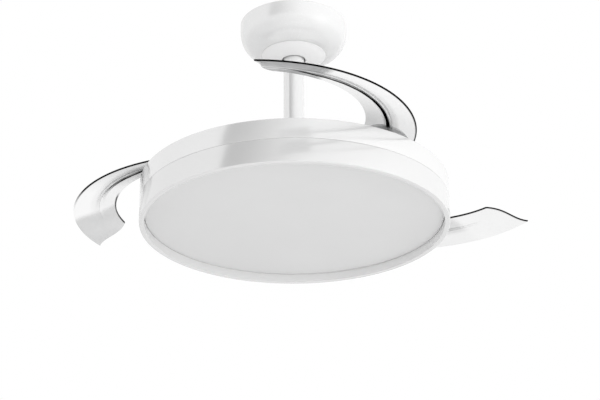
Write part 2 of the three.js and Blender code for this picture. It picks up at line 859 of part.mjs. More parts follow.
function rotorCover() {
  const top = coverEdgeHeight + coverCrown;
  const dome = (radius) => coverEdgeHeight
    + coverCrown * (1 - ((radius - coverBore) / (coverRadius - coverBore)) ** 2);
  const outside = [0.4, 0.75, 1].map((share) => {
    const radius = THREE.MathUtils.lerp(coverBore, coverRadius, share);
    return [radius, dome(radius)];
  });
  const inside = outside.map(([radius, height]) => [radius - (radius === coverRadius ? coverWall : 0),
    height - coverWall]);
  const bossLow = bellTop + fitGap;
  const bossOuter = coverBossRadius + coverBossWall;
  return revolve([
    [coverBore, top],
    ...outside,
    [coverRadius, coverEdgeHeight - coverSkirt],
    [coverRadius - coverWall, coverEdgeHeight - coverSkirt],
    ...inside.toReversed(),
    [bossOuter, dome(bossOuter) - coverWall],
    [bossOuter, bossLow],
    [coverBossRadius, bossLow],
    [coverBossRadius, dome(coverBossRadius) - coverWall],
    [coverBore, top - coverWall],
  ], wideSteps);
}

// ------------------------------------------------------------------ downrod and its fixings

function downrod() {
  const tube = ring(rodRadius - rodWall, rodRadius, socketHeight + fitGap, rodTop, bodySteps);
  return cut(tube,
    crossRod(hitchPinRadius + fitGap, 2 * rodRadius, hitchHeight, tinySteps),
    crossRod(rodPinRadius + fitGap, 2 * rodRadius, rodPinHeight, tinySteps));
}

function rodCoupling() {
  const body = revolve([
    [shaftRadius + fitGap, couplingHeight],
    [couplingRadius - couplingChamfer, couplingHeight],
    [couplingRadius, couplingHeight + couplingChamfer],
    [couplingRadius, couplingTop],
    [rodRadius + fitGap, couplingTop],
    [rodRadius + fitGap, socketHeight],
    [shaftRadius + fitGap, socketHeight],
  ], bodySteps);
  return cut(body, crossRod(hitchPinRadius + fitGap, 2 * couplingRadius, hitchHeight, tinySteps));
}

function couplingPin() {
  const shank = crossRod(hitchPinRadius, hitchPinReach, hitchHeight, tinySteps);
  const hole = rod(clipWire + 0.4, hitchHeight - 6, hitchHeight + 6, 8)
    .translate(hitchPinReach - clipInset, 0, 0);
  return cut(shank, hole);
}

// Spring clip: a straight leg through the pin's hole and a bent leg round the pin.
function couplingClip() {
  const x = hitchPinReach - clipInset;
  const path = new THREE.CatmullRomCurve3([
    new THREE.Vector3(x, 0, hitchHeight + 9),
    new THREE.Vector3(x, 0, hitchHeight + 3),
    new THREE.Vector3(x, 0, hitchHeight - 4),
    new THREE.Vector3(x, 2, hitchHeight - 7.5),
    new THREE.Vector3(x, 6, hitchHeight - 6),
    new THREE.Vector3(x, 6.4, hitchHeight),
    new THREE.Vector3(x, 5, hitchHeight + 5),
  ]);
  const wire = new THREE.Shape().absarc(0, 0, clipWire, 0, 2 * Math.PI);
  return new THREE.ExtrudeGeometry(wire, { steps: 11, extrudePath: path, curveSegments: 3 });
}

function couplingCover() {
  const neck = rodRadius + runGap;
  const shoulder = (cupRadius + neck) / 2;
  const shoulderDrop = 1.4 * cupWall;
  const cheek = cupTop - cupHeadroom - 2 * cupWall;
  return revolve([
    [cupRadius, cupLow],
    [cupRadius, cheek],
    [shoulder, cupTop - shoulderDrop],
    [neck, cupTop],
    [neck, cupTop - cupWall],
    [shoulder - cupWall / 2, cupTop - shoulderDrop - cupWall],
    [cupRadius - cupWall, cheek - cupWall / 2],
    [cupRadius - cupWall, cupLow],
  ], bodySteps);
}

function hangerBall() {
  const profile = [[rodRadius + fitGap, ballHeight - ballBelow]];
  const first = Math.asin(-ballBelow / ballRadius);
  const last = Math.asin(ballAbove / ballRadius);
  for (let i = 0; i <= 5; i++) {
    const angle = first + ((last - first) * i) / 5;
    profile.push([ballRadius * Math.cos(angle), ballHeight + ballRadius * Math.sin(angle)]);
  }
  profile.push([rodRadius + fitGap, ballHeight + ballAbove]);
  return cut(revolve(profile, bodySteps),
    crossRod(rodPinRadius + fitGap, 2 * ballRadius, rodPinHeight, tinySteps));
}

function wireHarness() {
  const bend = hitchPinRadius + harnessRadius + 2 * runGap;
  const low = motorPlateHeight - shaftTail - harnessEnd;
  const heights = [low, socketHeight, hitchHeight - hitchPinRadius, hitchHeight, rodTop - 1];
  const offsets = [0, 0, bend, bend, bend];
  const sides = 8;
  const sections = heights.map((height, i) => Array.from({ length: sides }, (_, k) => {
    const spot = polar(harnessRadius, (k * 360) / sides);
    return new THREE.Vector3(spot.x, spot.y + offsets[i], height);
  }));
  return loft(sections, (section) => section.map((p) => new THREE.Vector2(p.x, p.y)));
}

// ------------------------------------------------------------------ canopy and bracket

// Outer profile of the canopy: a straight skirt, then an elliptical turn in to the flat floor.
function canopyProfile(shrink) {
  const skirtLow = overallHeight - canopySkirt;
  const points = [];
  for (let i = 0; i <= 5; i++) {
    const angle = rad((i * 90) / 5);
    points.push([
      canopyFloorRadius + (canopyRadius - canopyFloorRadius - shrink) * Math.cos(angle),
      skirtLow - (skirtLow - canopyFloorHeight - shrink) * Math.sin(angle),
    ]);
  }
  return points;
}

function canopy() {
  const top = overallHeight - fitGap;
  const shell = revolve([
    [canopyRadius, top],
    ...canopyProfile(0),
    [canopyHole, canopyFloorHeight],
    [canopyHole, canopyFloorHeight + canopyWall],
    ...canopyProfile(canopyWall).toReversed(),
    [canopyRadius - canopyWall, top],
  ], wideSteps);
  return cut(shell, ...[-1, 1].map((side) => screwHole(canopyFloorHeight - 1, side)));
}

// Domed cap under the canopy that hides its screws.
function canopyCap() {
  const top = canopyFloorHeight - fitGap;
  const dome = (radius) => top - capDrop + capDrop * ((radius - capHole) / (capRadius - capHole)) ** 2;
  const across = [0, 0.33, 0.66, 0.92].map((share) => THREE.MathUtils.lerp(capHole, capRadius, share));
  const outside = across.map((radius) => [radius, dome(radius)]);
  return revolve([
    ...outside,
    [capRadius, top],
    [capRadius - capFlange, top],
    [across[2], dome(across[2]) + canopyWall],
    [capCollar + canopyWall, dome(capCollar + canopyWall) + canopyWall],
    [capCollar + canopyWall, canopyFloorHeight + canopyWall],
    [capCollar, canopyFloorHeight + canopyWall],
    [capCollar, dome(capCollar) + canopyWall],
    [capHole, dome(capHole) + canopyWall],
  ], bodySteps);
}

const screwHole = (low, side) =>
  rod(canopyScrewRadius + fitGap, low, low + 6, tinySteps).translate(side * canopyScrewCircle, 0, 0);

const canopyScrew = (side) => {
  const headTop = canopyFloorHeight - fitGap;
  return revolve([
    [0, headTop - canopyScrewHeadHeight],
    [canopyScrewHead, headTop - canopyScrewHeadHeight],
    [canopyScrewHead, headTop],
    [canopyScrewRadius, headTop],
    [canopyScrewRadius, seatLow + canopyScrewReach],
    [0, seatLow + canopyScrewReach],
  ], tinySteps).translate(side * canopyScrewCircle, 0, 0);
};

// Steel hanging bracket: a slotted plate on the ceiling, two legs, and a ring-shaped seat
// for the ball that is open on one side to let the rod in.
function ceilingBracket() {
  const leg = (side) => block(
    Math.min(side * bracketLeg, side * (bracketLeg + bracketThickness)),
    Math.max(side * bracketLeg, side * (bracketLeg + bracketThickness)),
    -legWidth / 2, legWidth / 2, seatLow, bracketLow + 1);
  const foot = (side) => block(
    Math.min(side * (bracketLeg - seatWall), side * footReach),
    Math.max(side * (bracketLeg - seatWall), side * footReach),
    -legWidth / 2, legWidth / 2, seatLow, seatLow + bracketThickness);
  const seat = ring(rodRadius + 2, seatRadius, seatLow, seatLow + seatHeight, bodySteps);
  const ball = new THREE.SphereGeometry(ballRadius + 2 * fitGap, bodySteps, 12)
    .rotateX(Math.PI / 2)
    .translate(0, 0, ballHeight);
  const slotHalf = rodRadius + runGap;
  const plateShape = roundedRectangle(bracketLength, bracketWidth, bracketCorner);
  const slotShape = roundedRectangle(slotLength, slotWidth, slotWidth / 2 - 0.01);
  const body = join(
    plate(plateShape, bracketLow, overallHeight, 3),
    leg(-1), leg(1), foot(-1), foot(1), seat);
  const slots = [-1, 1].flatMap((side) => [
    plate(slotShape, bracketLow - 1, overallHeight + 1, 3)
      .translate(side * slotCentre[0], slotCentre[1], 0),
    screwHole(seatLow - 1, side),
  ]);
  return cut(body, ball, ...slots,
    rod(rodRadius + seatClear, seatLow - 1, seatLow + seatClear, bodySteps),
    block(-slotHalf, slotHalf, 0, 2 * seatRadius, seatLow - 1, seatLow + seatHeight + 1),
    rod(bracketHole, bracketLow - 1, overallHeight + 1, smallSteps).translate(...bracketHoleCentre, 0));
}

function underPlate([length, width, height], corner) {
  const top = bracketLow - fitGap;
  return plate(roundedRectangle(length, width, corner), top - height, top, 2);
}

// ------------------------------------------------------------------ assembly

function add(parent, name, geometry, material) {
  const mesh = new THREE.Mesh(weld(geometry), material);
  mesh.geometry.computeVertexNormals();
  mesh.name = name;
  parent.add(mesh);
  return mesh;
}

const fan = new THREE.Group();
fan.position.z = -overallHeight;

add(fan, 'ceiling_bracket', ceilingBracket(), steel);
add(fan, 'canopy', canopy(), whiteMatt);
add(fan, 'canopy_cap', canopyCap(), whiteMatt);
add(fan, 'canopy_screw_1', canopyScrew(1), steel);
add(fan, 'canopy_screw_2', canopyScrew(-1), steel);
add(fan, 'receiver', underPlate(receiverSize, 3), darkPlastic);
add(fan, 'terminal_block', underPlate(terminalSize, 2), nylon).position.x = terminalCentre;

// Everything that hangs from the ball and stands still under it.
const stem = new THREE.Group();
fan.add(stem);
add(stem, 'hanger_ball', hangerBall(), nylon);
add(stem, 'downrod', downrod(), whiteGloss);
add(stem, 'rod_pin', crossRod(rodPinRadius, ballRadius - rodPinInset, rodPinHeight, tinySteps), steel);
add(stem, 'rod_coupling', rodCoupling(), steel);
add(stem, 'coupling_pin', couplingPin(), steel);
add(stem, 'coupling_clip', couplingClip(), darkSteel);
add(stem, 'coupling_cover', couplingCover(), whiteGloss);
add(stem, 'motor_shaft', motorShaft(), steel);
add(stem, 'shaft_nut', shaftNut(), steel);
add(stem, 'stator_core', statorCore(), darkSteel);
add(stem, 'stator_winding', statorWinding(), copper);
add(stem, 'wire_harness', wireHarness(), darkPlastic);
add(stem, 'upper_housing', upperHousing(), whiteGloss);
add(stem, 'seam_ring', seamRing(), whiteMatt);
add(stem, 'motor_plate', motorPlate(), aluminium);
add(stem, 'lamp_ring', lampRing(), whiteGloss);
add(stem, 'lamp_tray', lampTray(), whiteMatt);
add(stem, 'led_board', ledBoard(), boardWhite);
add(stem, 'led_driver', ledDriver(), whiteMatt);
add(stem, 'diffuser', diffuser(), opal);

// Everything that spins on the shaft.
const rotor = new THREE.Group();
rotor.rotation.z = rad(firstPivotAngle);
stem.add(rotor);
add(rotor, 'rotor_plate', rotorPlate(), aluminium);
add(rotor, 'rotor_bell', rotorBell(), darkSteel);
add(rotor, 'magnet_ring', magnetRing(), darkSteel);
add(rotor, 'bearing_lower', bearing(plateHeight + bearingLip + fitGap), steel);
add(rotor, 'bearing_upper', bearing(bellTop - bearingLip - fitGap - bearingWidth), steel);
add(rotor, 'rotor_cover', rotorCover(), whiteMatt);
const sync = add(rotor, 'sync_gear', syncGear(), nylon);
sync.rotation.z = rad((-swingInPhoto * armTeeth) / syncTeeth);

const spring = returnSpring();
for (const number of bladeNumbers.map((i) => i + 1)) {
  const angle = -bladeStep * (number - 1);
  const pivot = new THREE.Group();
  pivot.rotation.z = rad(angle);
  rotor.add(pivot);
  const mast = new THREE.Group();
  mast.position.x = pivotRadius;
  pivot.add(mast);
  add(mast, `pivot_pin_${number}`, pivotPin(), steel);
  add(mast, `pin_clip_${number}`, pinClip(), darkSteel);
  add(mast, `return_spring_${number}`, spring, darkSteel);
  const swing = new THREE.Group();
  swing.rotation.z = rad(swingInPhoto);
  mast.add(swing);
  add(swing, `blade_arm_${number}`, bladeArm(), nylon);
  add(swing, `arm_bush_${number}`, pivotBush(), brass);
  add(swing, `blade_${number}`, blade(), clear);
  add(swing, `blade_clamp_${number}`, bladeClamp(), whiteMatt);
}

export default fan;
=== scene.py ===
import json
import math

import bmesh
import bpy
from mathutils import Matrix, Vector


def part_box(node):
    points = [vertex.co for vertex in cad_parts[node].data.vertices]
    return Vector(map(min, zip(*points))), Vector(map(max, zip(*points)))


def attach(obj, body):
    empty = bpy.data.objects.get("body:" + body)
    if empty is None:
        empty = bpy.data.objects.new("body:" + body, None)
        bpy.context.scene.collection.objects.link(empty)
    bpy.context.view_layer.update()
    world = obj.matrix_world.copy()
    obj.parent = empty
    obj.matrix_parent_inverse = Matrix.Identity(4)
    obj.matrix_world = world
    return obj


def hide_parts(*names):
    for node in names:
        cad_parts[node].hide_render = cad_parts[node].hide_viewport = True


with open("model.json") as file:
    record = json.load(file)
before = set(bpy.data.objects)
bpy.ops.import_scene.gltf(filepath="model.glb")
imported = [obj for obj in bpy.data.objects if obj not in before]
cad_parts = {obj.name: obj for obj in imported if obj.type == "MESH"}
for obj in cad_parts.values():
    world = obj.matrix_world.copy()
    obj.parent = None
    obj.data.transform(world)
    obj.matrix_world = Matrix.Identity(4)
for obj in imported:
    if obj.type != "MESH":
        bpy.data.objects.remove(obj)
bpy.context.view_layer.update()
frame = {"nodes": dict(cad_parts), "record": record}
print("frame loaded:", len(frame["nodes"]), "nodes")

hangHeight = 368  # mm from the drum's lower rim up to the ceiling
pivotCircle = 207  # mm from the axis to the blades' pivots
bladeEdge = (248, 77.3)  # mm: the folded blades' outer edge, from the axis and above the rim


def newMaterial(name):
    material = bpy.data.materials.new(name)
    material.use_nodes = True
    tree = material.node_tree
    shader = tree.nodes["Principled BSDF"]
    return material, tree, shader


def noiseOn(tree, scale, detail=3.0, stretch=(1, 1, 1)):
    place = tree.nodes.new("ShaderNodeTexCoord")
    mapping = tree.nodes.new("ShaderNodeMapping")
    mapping.inputs["Scale"].default_value = stretch
    noise = tree.nodes.new("ShaderNodeTexNoise")
    noise.inputs["Scale"].default_value = scale
    noise.inputs["Detail"].default_value = detail
    tree.links.new(place.outputs["Object"], mapping.inputs["Vector"])
    tree.links.new(mapping.outputs["Vector"], noise.inputs["Vector"])
    return noise


def spread(tree, socket, low, high):
    remap = tree.nodes.new("ShaderNodeMapRange")
    remap.inputs["From Min"].default_value = 0.3
    remap.inputs["From Max"].default_value = 0.7
    remap.inputs["To Min"].default_value = low
    remap.inputs["To Max"].default_value = high
    tree.links.new(socket, remap.inputs["Value"])
    return remap.outputs["Result"]


def twoTones(tree, socket, dark, light):
    ramp = tree.nodes.new("ShaderNodeValToRGB")
    ramp.color_ramp.elements[0].position = 0.35
    ramp.color_ramp.elements[0].color = (*dark, 1)
    ramp.color_ramp.elements[1].position = 0.65
    ramp.color_ramp.elements[1].color = (*light, 1)
    tree.links.new(socket, ramp.inputs["Fac"])
    return ramp.outputs["Color"]


def bumpFrom(tree, shader, socket, distance, strength=0.3):
    bump = tree.nodes.new("ShaderNodeBump")
    bump.inputs["Distance"].default_value = distance
    bump.inputs["Strength"].default_value = strength
    tree.links.new(socket, bump.inputs["Height"])
    tree.links.new(bump.outputs["Normal"], shader.inputs["Normal"])


# A plain surface whose colour and roughness wander a little, with a fine skin.
def wornSurface(name, dark, light, rough, metallic=0.0, grain=120, skin=0.00005, stretch=(1, 1, 1)):
    material, tree, shader = newMaterial(name)
    broad = noiseOn(tree, 9, 4, stretch)
    fine = noiseOn(tree, grain, 3, stretch)
    tree.links.new(twoTones(tree, broad.outputs["Fac"], dark, light), shader.inputs["Base Color"])
    tree.links.new(spread(tree, fine.outputs["Fac"], *rough), shader.inputs["Roughness"])
    shader.inputs["Metallic"].default_value = metallic
    bumpFrom(tree, shader, fine.outputs["Fac"], skin)
    return material


whiteValues = {
    "glossTone": 0.86,
    "glossShare": 0.3,  # how much of the enamel's light is mirror-like
    # deeper white for the lamp ring: painted shade on the lower band
    "shadedRingTone": 0.815,
    "mattTone": 0.945,
    "metalTone": 0.88,
    "metalShare": 0.2,
    "opalTone": 0.71,
    "coat": 0.5,
}


def grey(value, tint=0.0):
    return (value - tint, value, value + tint)


# Glossy enamel under a thin clear coat.
def enamel(name, tone):
    values = whiteValues
    material = wornSurface(name, grey(tone - 0.008), grey(tone + 0.006), (0.14, 0.2),
                           values["glossShare"], grain=700, skin=0.000006)
    shader = material.node_tree.nodes["Principled BSDF"]
    shader.inputs["Coat Weight"].default_value = values["coat"]
    shader.inputs["Coat Roughness"].default_value = 0.06
    return material


whiteGloss = enamel("white enamel", whiteValues["glossTone"])
# The lamp ring takes a deeper copy of the enamel white: painted shade on the lower band.
shadedRingWhite = enamel("lamp ring shaded white", whiteValues["shadedRingTone"])

whiteMatt = wornSurface("satin white", grey(whiteValues["mattTone"] - 0.01),
                        grey(whiteValues["mattTone"] + 0.01), (0.4, 0.5), grain=500, skin=0.00002)

whiteMetal = wornSurface("white powder coat", grey(whiteValues["metalTone"] - 0.01),
                         grey(whiteValues["metalTone"] + 0.008), (0.2, 0.28), whiteValues["metalShare"],
                         grain=900, skin=0.000008)

opal = wornSurface("opal acrylic", grey(whiteValues["opalTone"] - 0.006),
                   grey(whiteValues["opalTone"] + 0.006), (0.5, 0.58), grain=900, skin=0.000006)
opal.node_tree.nodes["Principled BSDF"].inputs["Specular IOR Level"].default_value = 0.25

steel = wornSurface("zinc-plated steel", (0.50, 0.51, 0.52), (0.62, 0.63, 0.64), (0.26, 0.42), 1.0,
                    grain=260, stretch=(1, 1, 5))
darkSteel = wornSurface("phosphated steel", (0.10, 0.105, 0.11), (0.17, 0.175, 0.18), (0.4, 0.55), 0.9,
                        grain=420)
aluminium = wornSurface("spun aluminium", (0.66, 0.67, 0.68), (0.76, 0.77, 0.78), (0.28, 0.42), 1.0,
                        grain=300)
nylon = wornSurface("moulded nylon", (0.74, 0.73, 0.69), (0.80, 0.79, 0.75), (0.42, 0.52), grain=650)
blackPlastic = wornSurface("black plastic", (0.022, 0.022, 0.024), (0.035, 0.035, 0.038), (0.45, 0.6),
                           grain=800)
brassMetal = wornSurface("turned brass", (0.62, 0.46, 0.20), (0.74, 0.57, 0.27), (0.25, 0.38), 1.0,
                         grain=200, stretch=(1, 1, 8))


# Fine bands across the height, for wound wire and stacked sheets.
def bandedMaterial(name, bandScale, wobble, dark, light, metallic, roughness, depth, strength):
    material, tree, shader = newMaterial(name)
    place = tree.nodes.new("ShaderNodeTexCoord")
    wave = tree.nodes.new("ShaderNodeTexWave")
    wave.bands_direction = "Z"
    wave.inputs["Scale"].default_value = bandScale
    wave.inputs["Distortion"].default_value = wobble
    tree.links.new(place.outputs["Object"], wave.inputs["Vector"])
    tree.links.new(twoTones(tree, wave.outputs["Fac"], dark, light), shader.inputs["Base Color"])
    shader.inputs["Metallic"].default_value = metallic
    shader.inputs["Roughness"].default_value = roughness
    bumpFrom(tree, shader, wave.outputs["Fac"], depth, strength)
    return material


# White solder mask with rows of small yellow chips.
def boardMaterial():
    material, tree, shader = newMaterial("lamp board")
    place = tree.nodes.new("ShaderNodeTexCoord")
    bricks = tree.nodes.new("ShaderNodeTexBrick")
    bricks.inputs["Scale"].default_value = 30
    bricks.inputs["Mortar Size"].default_value = 0.38
    bricks.inputs["Brick Width"].default_value = 0.9
    bricks.inputs["Row Height"].default_value = 0.9
    bricks.inputs["Color1"].default_value = (0.85, 0.70, 0.25, 1)
    bricks.inputs["Color2"].default_value = (0.88, 0.74, 0.30, 1)
    bricks.inputs["Mortar"].default_value = (0.84, 0.85, 0.84, 1)
    tree.links.new(place.outputs["Object"], bricks.inputs["Vector"])
    tree.links.new(bricks.outputs["Color"], shader.inputs["Base Color"])
    shader.inputs["Roughness"].default_value = 0.45
    return material


winding = bandedMaterial("enamelled wire", 190, 1.5, (0.30, 0.10, 0.04), (0.62, 0.26, 0.12),
                         0.8, 0.35, 0.0004, 0.8)
laminated = bandedMaterial("laminated iron", 320, 0.0, (0.16, 0.16, 0.17), (0.34, 0.34, 0.35),
                           0.9, 0.45, 0.0003, 0.6)
ledBoard = boardMaterial()

bladeValues = {
    "tone": 0.35,  # grey of the acrylic where light strikes it
    "shadeLineTone": 0.001,  # painted shade: edges and ribs that turn from the light are painted black
    "shadeLineVeil": 1.0,
    # painted highlight beside the rib
    "glintVeil": 0.8,
    "ribShadeVeil": 0.12,  # painted shade added beside the rib
}


def attributeOn(tree, name):
    node = tree.nodes.new("ShaderNodeAttribute")
    node.attribute_name = name
    return node.outputs["Fac"]


# Clear acrylic: a light veil given along each blade, set per blade as painted light and shade, with
# painted shade as dark lines along the edges and the rib and a painted highlight beside the rib.
def acrylicMaterial():
    material, tree, shader = newMaterial("clear acrylic")
    values = bladeValues
    broad = noiseOn(tree, 22, 3)
    cloudy = spread(tree, broad.outputs["Fac"], 0.85, 1.12)
    veil = tree.nodes.new("ShaderNodeMath")
    veil.operation = "MULTIPLY"
    tree.links.new(attributeOn(tree, "veil"), veil.inputs[0])
    tree.links.new(cloudy, veil.inputs[1])
    deeper = tree.nodes.new("ShaderNodeMath")
    deeper.operation = "MULTIPLY_ADD"
    deeper.inputs[1].default_value = values["ribShadeVeil"]
    tree.links.new(attributeOn(tree, "shade"), deeper.inputs[0])
    tree.links.new(veil.outputs[0], deeper.inputs[2])
    amount = deeper.outputs[0]
    tone = twoTones(tree, broad.outputs["Fac"], grey(values["tone"] - 0.02, 0.003),
                    grey(values["tone"] + 0.02, 0.003))
    # Mixes in the painted highlight and the painted shade lines, in colour and in cover.
    for name, colour, strength in (("glint", (0.95, 0.95, 0.95, 1), values["glintVeil"]),
                                   ("shadeLine", (*grey(values["shadeLineTone"]), 1), values["shadeLineVeil"])):
        share = attributeOn(tree, name)
        blend = tree.nodes.new("ShaderNodeMix")
        blend.data_type = "RGBA"
        blend.inputs["B"].default_value = colour
        tree.links.new(share, blend.inputs["Factor"])
        tree.links.new(tone, blend.inputs["A"])
        tone = blend.outputs["Result"]
        mix = tree.nodes.new("ShaderNodeMix")
        mix.inputs["B"].default_value = strength
        tree.links.new(share, mix.inputs["Factor"])
        tree.links.new(amount, mix.inputs["A"])
        amount = mix.outputs["Result"]
    tree.links.new(tone, shader.inputs["Base Color"])
    tree.links.new(amount, shader.inputs["Alpha"])
    # The painted shade lines lose their specular sheen.
    gloss = tree.nodes.new("ShaderNodeMix")
    gloss.inputs["A"].default_value = 0.5
    gloss.inputs["B"].default_value = 0.0
    tree.links.new(attributeOn(tree, "shadeLine"), gloss.inputs["Factor"])
    tree.links.new(gloss.outputs["Result"], shader.inputs["Specular IOR Level"])
    shader.inputs["Roughness"].default_value = 0.06
    fine = noiseOn(tree, 60, 2)
    bumpFrom(tree, shader, fine.outputs["Fac"], 0.00004, 0.15)
    return material


clearAcrylic = acrylicMaterial()


# Frosted polycarbonate of the blade arms, a patchy grey that lets some light through.
def frostedMaterial():
    material, tree, shader = newMaterial("frosted polycarbonate")
    cloud = noiseOn(tree, 75, 4)
    fine = noiseOn(tree, 400, 2)
    tree.links.new(twoTones(tree, cloud.outputs["Fac"], grey(0.30, 0.004), grey(0.72, 0.006)),
                   shader.inputs["Base Color"])
    tree.links.new(spread(tree, cloud.outputs["Fac"], 0.5, 0.15), shader.inputs["Alpha"])
    tree.links.new(spread(tree, fine.outputs["Fac"], 0.15, 0.3), shader.inputs["Roughness"])
    bumpFrom(tree, shader, cloud.outputs["Fac"], 0.0004, 0.4)
    return material


frosted = frostedMaterial()
print("finishes ready")


def height(mm):
    return (mm - hangHeight) / 1000


# Rounds the corners of a closed [radius, height] outline; each corner may name its own radius.
def roundCorners(outline, radius, steps=4):
    points = []
    count = len(outline)
    for i, corner in enumerate(outline):
        here = Vector(corner[:2])
        before = Vector(outline[i - 1][:2]) - here
        after = Vector(outline[(i + 1) % count][:2]) - here
        size = corner[2] if len(corner) > 2 else radius
        half = before.angle(after) / 2
        if size <= 0 or half > 1.5:
            points.append(here)
            continue
        reach = min(size / math.tan(half), before.length * 0.45, after.length * 0.45)
        size = reach * math.tan(half)
        middle = here + (before.normalized() + after.normalized()).normalized() * size / math.sin(half)
        start = here + before.normalized() * reach - middle
        end = here + after.normalized() * reach - middle
        turn = start.angle_signed(end)
        for k in range(steps + 1):
            points.append(middle + Matrix.Rotation(-turn * k / steps, 2) @ start)
    return points


def finishMesh(bm, name, material, sharp=0.6):
    bmesh.ops.remove_doubles(bm, verts=bm.verts, dist=1e-6)
    bmesh.ops.recalc_face_normals(bm, faces=bm.faces)
    if bm.calc_volume(signed=True) < 0:
        bmesh.ops.reverse_faces(bm, faces=bm.faces)
    for edge in bm.edges:
        edge.smooth = edge.calc_face_angle(0) < sharp
    for face in bm.faces:
        face.smooth = True
    mesh = bpy.data.meshes.new(name)
    bm.to_mesh(mesh)
    bm.free()
    mesh.materials.append(material)
    piece = bpy.data.objects.new(name, mesh)
    bpy.context.scene.collection.objects.link(piece)
    return piece


# Turns a closed outline (mm from the axis, mm above the drum's rim) about an upright axis,
# all the way round or, with an arc in degrees, part of the way with closed ends.
def turned(name, outline, material, radius=0.3, steps=160, centre=(0, 0), arc=(0, 360)):
    points = roundCorners(outline, radius)
    closed = arc[1] - arc[0] >= 360
    bm = bmesh.new()
    rings = []
    for k in range(steps if closed else steps + 1):
        angle = math.radians(arc[0] + (arc[1] - arc[0]) * k / steps)
        rings.append([bm.verts.new((
            centre[0] / 1000 + p.x / 1000 * math.cos(angle),
            centre[1] / 1000 + p.x / 1000 * math.sin(angle),
            height(p.y))) for p in points])
    if not closed:
        bm.faces.new(rings[0])
        bm.faces.new(reversed(rings[-1]))
    for k in range(steps):
        here, there = rings[k], rings[(k + 1) % len(rings)]
        for i in range(len(points)):
            j = (i + 1) % len(points)
            if points[i].x < 1e-6 and points[j].x < 1e-6:
                continue
            bm.faces.new((here[i], there[i], there[j], here[j]))
    return finishMesh(bm, name, material)


def circle(radius, steps, centre=(0, 0)):
    turns = [2 * math.pi * k / steps for k in range(steps)]
    return [(centre[0] + radius * math.cos(t), centre[1] + radius * math.sin(t)) for t in turns]


def around(radius, degrees):
    return (radius * math.cos(math.radians(degrees)), radius * math.sin(math.radians(degrees)))


def pivotAngle(number):
    return -45 - 120 * (number - 1)


def meshOfCurve(curve, name):
    holder = bpy.data.objects.new(name, curve)
    bpy.context.scene.collection.objects.link(holder)
    graph = bpy.context.evaluated_depsgraph_get()
    mesh = bpy.data.meshes.new_from_object(holder.evaluated_get(graph))
    bpy.data.objects.remove(holder)
    return mesh


# Flat plate with rounded edges. The first outline (mm) is its rim, the others are holes.
def flatPlate(name, outlines, low, high, edge, material):
    curve = bpy.data.curves.new(name, "CURVE")
    curve.dimensions = "2D"
    curve.fill_mode = "BOTH"
    curve.extrude = ((high - low) / 2 - edge) / 1000
    curve.bevel_depth = edge / 1000
    curve.bevel_resolution = 2
    curve.offset = -edge / 1000
    for number, outline in enumerate(outlines):
        points = outline if number == 0 else outline[::-1]
        spline = curve.splines.new("POLY")
        spline.points.add(len(points) - 1)
        for spot, (x, y) in zip(spline.points, points):
            spot.co = (x / 1000, y / 1000, 0, 1)
        spline.use_cyclic_u = True
    mesh = meshOfCurve(curve, name)
    mesh.transform(Matrix.Translation((0, 0, height((low + high) / 2))))
    bm = bmesh.new()
    bm.from_mesh(mesh)
    return finishMesh(bm, name, material, 0.7)


# Round disc about a centre whose two faces follow given heights over the plan, in mm.
def shapedDisc(name, centre, radius, lowOf, highOf, edge, material, steps=96, rings=8):
    spans = [(radius - edge) * k / rings for k in range(1, rings + 1)]
    outline = [(r, lowOf, 0) for r in spans] + [(radius, lowOf, edge), (radius, highOf, -edge)]
    outline += [(r, highOf, 0) for r in reversed(spans)]
    bm = bmesh.new()
    columns = []
    for x, y in circle(1, steps):
        spots = [(centre[0] + r * x, centre[1] + r * y, level, rise) for r, level, rise in outline]
        columns.append([bm.verts.new((px / 1000, py / 1000, height(level(px, py) + rise)))
                        for px, py, level, rise in spots])
    ends = [bm.verts.new((centre[0] / 1000, centre[1] / 1000, height(level(*centre))))
            for level in (lowOf, highOf)]
    for k in range(steps):
        here, there = columns[k], columns[(k + 1) % steps]
        bm.faces.new((ends[0], there[0], here[0]))
        bm.faces.new((ends[1], here[-1], there[-1]))
        for i in range(len(outline) - 1):
            bm.faces.new((here[i], there[i], there[i + 1], here[i + 1]))
    return finishMesh(bm, name, material, 0.7)


# One object from several that share a material.
def joined(name, pieces):
    bm = bmesh.new()
    for piece in pieces:
        bm.from_mesh(piece.data)
    mesh = bpy.data.meshes.new(name)
    bm.to_mesh(mesh)
    bm.free()
    mesh.materials.append(pieces[0].data.materials[0])
    for piece in pieces:
        bpy.data.objects.remove(piece)
    whole = bpy.data.objects.new(name, mesh)
    bpy.context.scene.collection.objects.link(whole)
    return whole


# Lowest and highest mm of a CAD node above the drum's rim.
def levels(node):
    return [corner.z * 1000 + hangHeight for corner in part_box(node)]


def dress(piece, body, slotName, *nodes):
    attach(piece, body)
    if nodes:
        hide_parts(*nodes)


# A socket in a node tree that can be added to, multiplied and so on.
class Term:
    def __init__(self, tree, socket):
        self.tree = tree
        self.socket = socket

    def calculate(self, operation, *others):
        node = self.tree.nodes.new("ShaderNodeMath")
        node.operation = operation
        for slotNumber, value in enumerate((self, *others)):
            if isinstance(value, Term):
                self.tree.links.new(value.socket, node.inputs[slotNumber])
            else:
                node.inputs[slotNumber].default_value = value
        return Term(self.tree, node.outputs[0])

    def __add__(self, other):
        return self.calculate("ADD", other)

    def __sub__(self, other):
        return self.calculate("SUBTRACT", other)

    def __mul__(self, other):
        return self.calculate("MULTIPLY", other)

    def __truediv__(self, other):
        return self.calculate("DIVIDE", other)

    def __pow__(self, other):
        return self.calculate("POWER", other)

    def below(self):
        return self * -1 + 1

    def clamped(self):
        return self.calculate("MINIMUM", 1).calculate("MAXIMUM", 0)

    def eased(self, low, high):
        share = ((self - low) / (high - low)).clamped()
        return share * share * (share * -2 + 3)


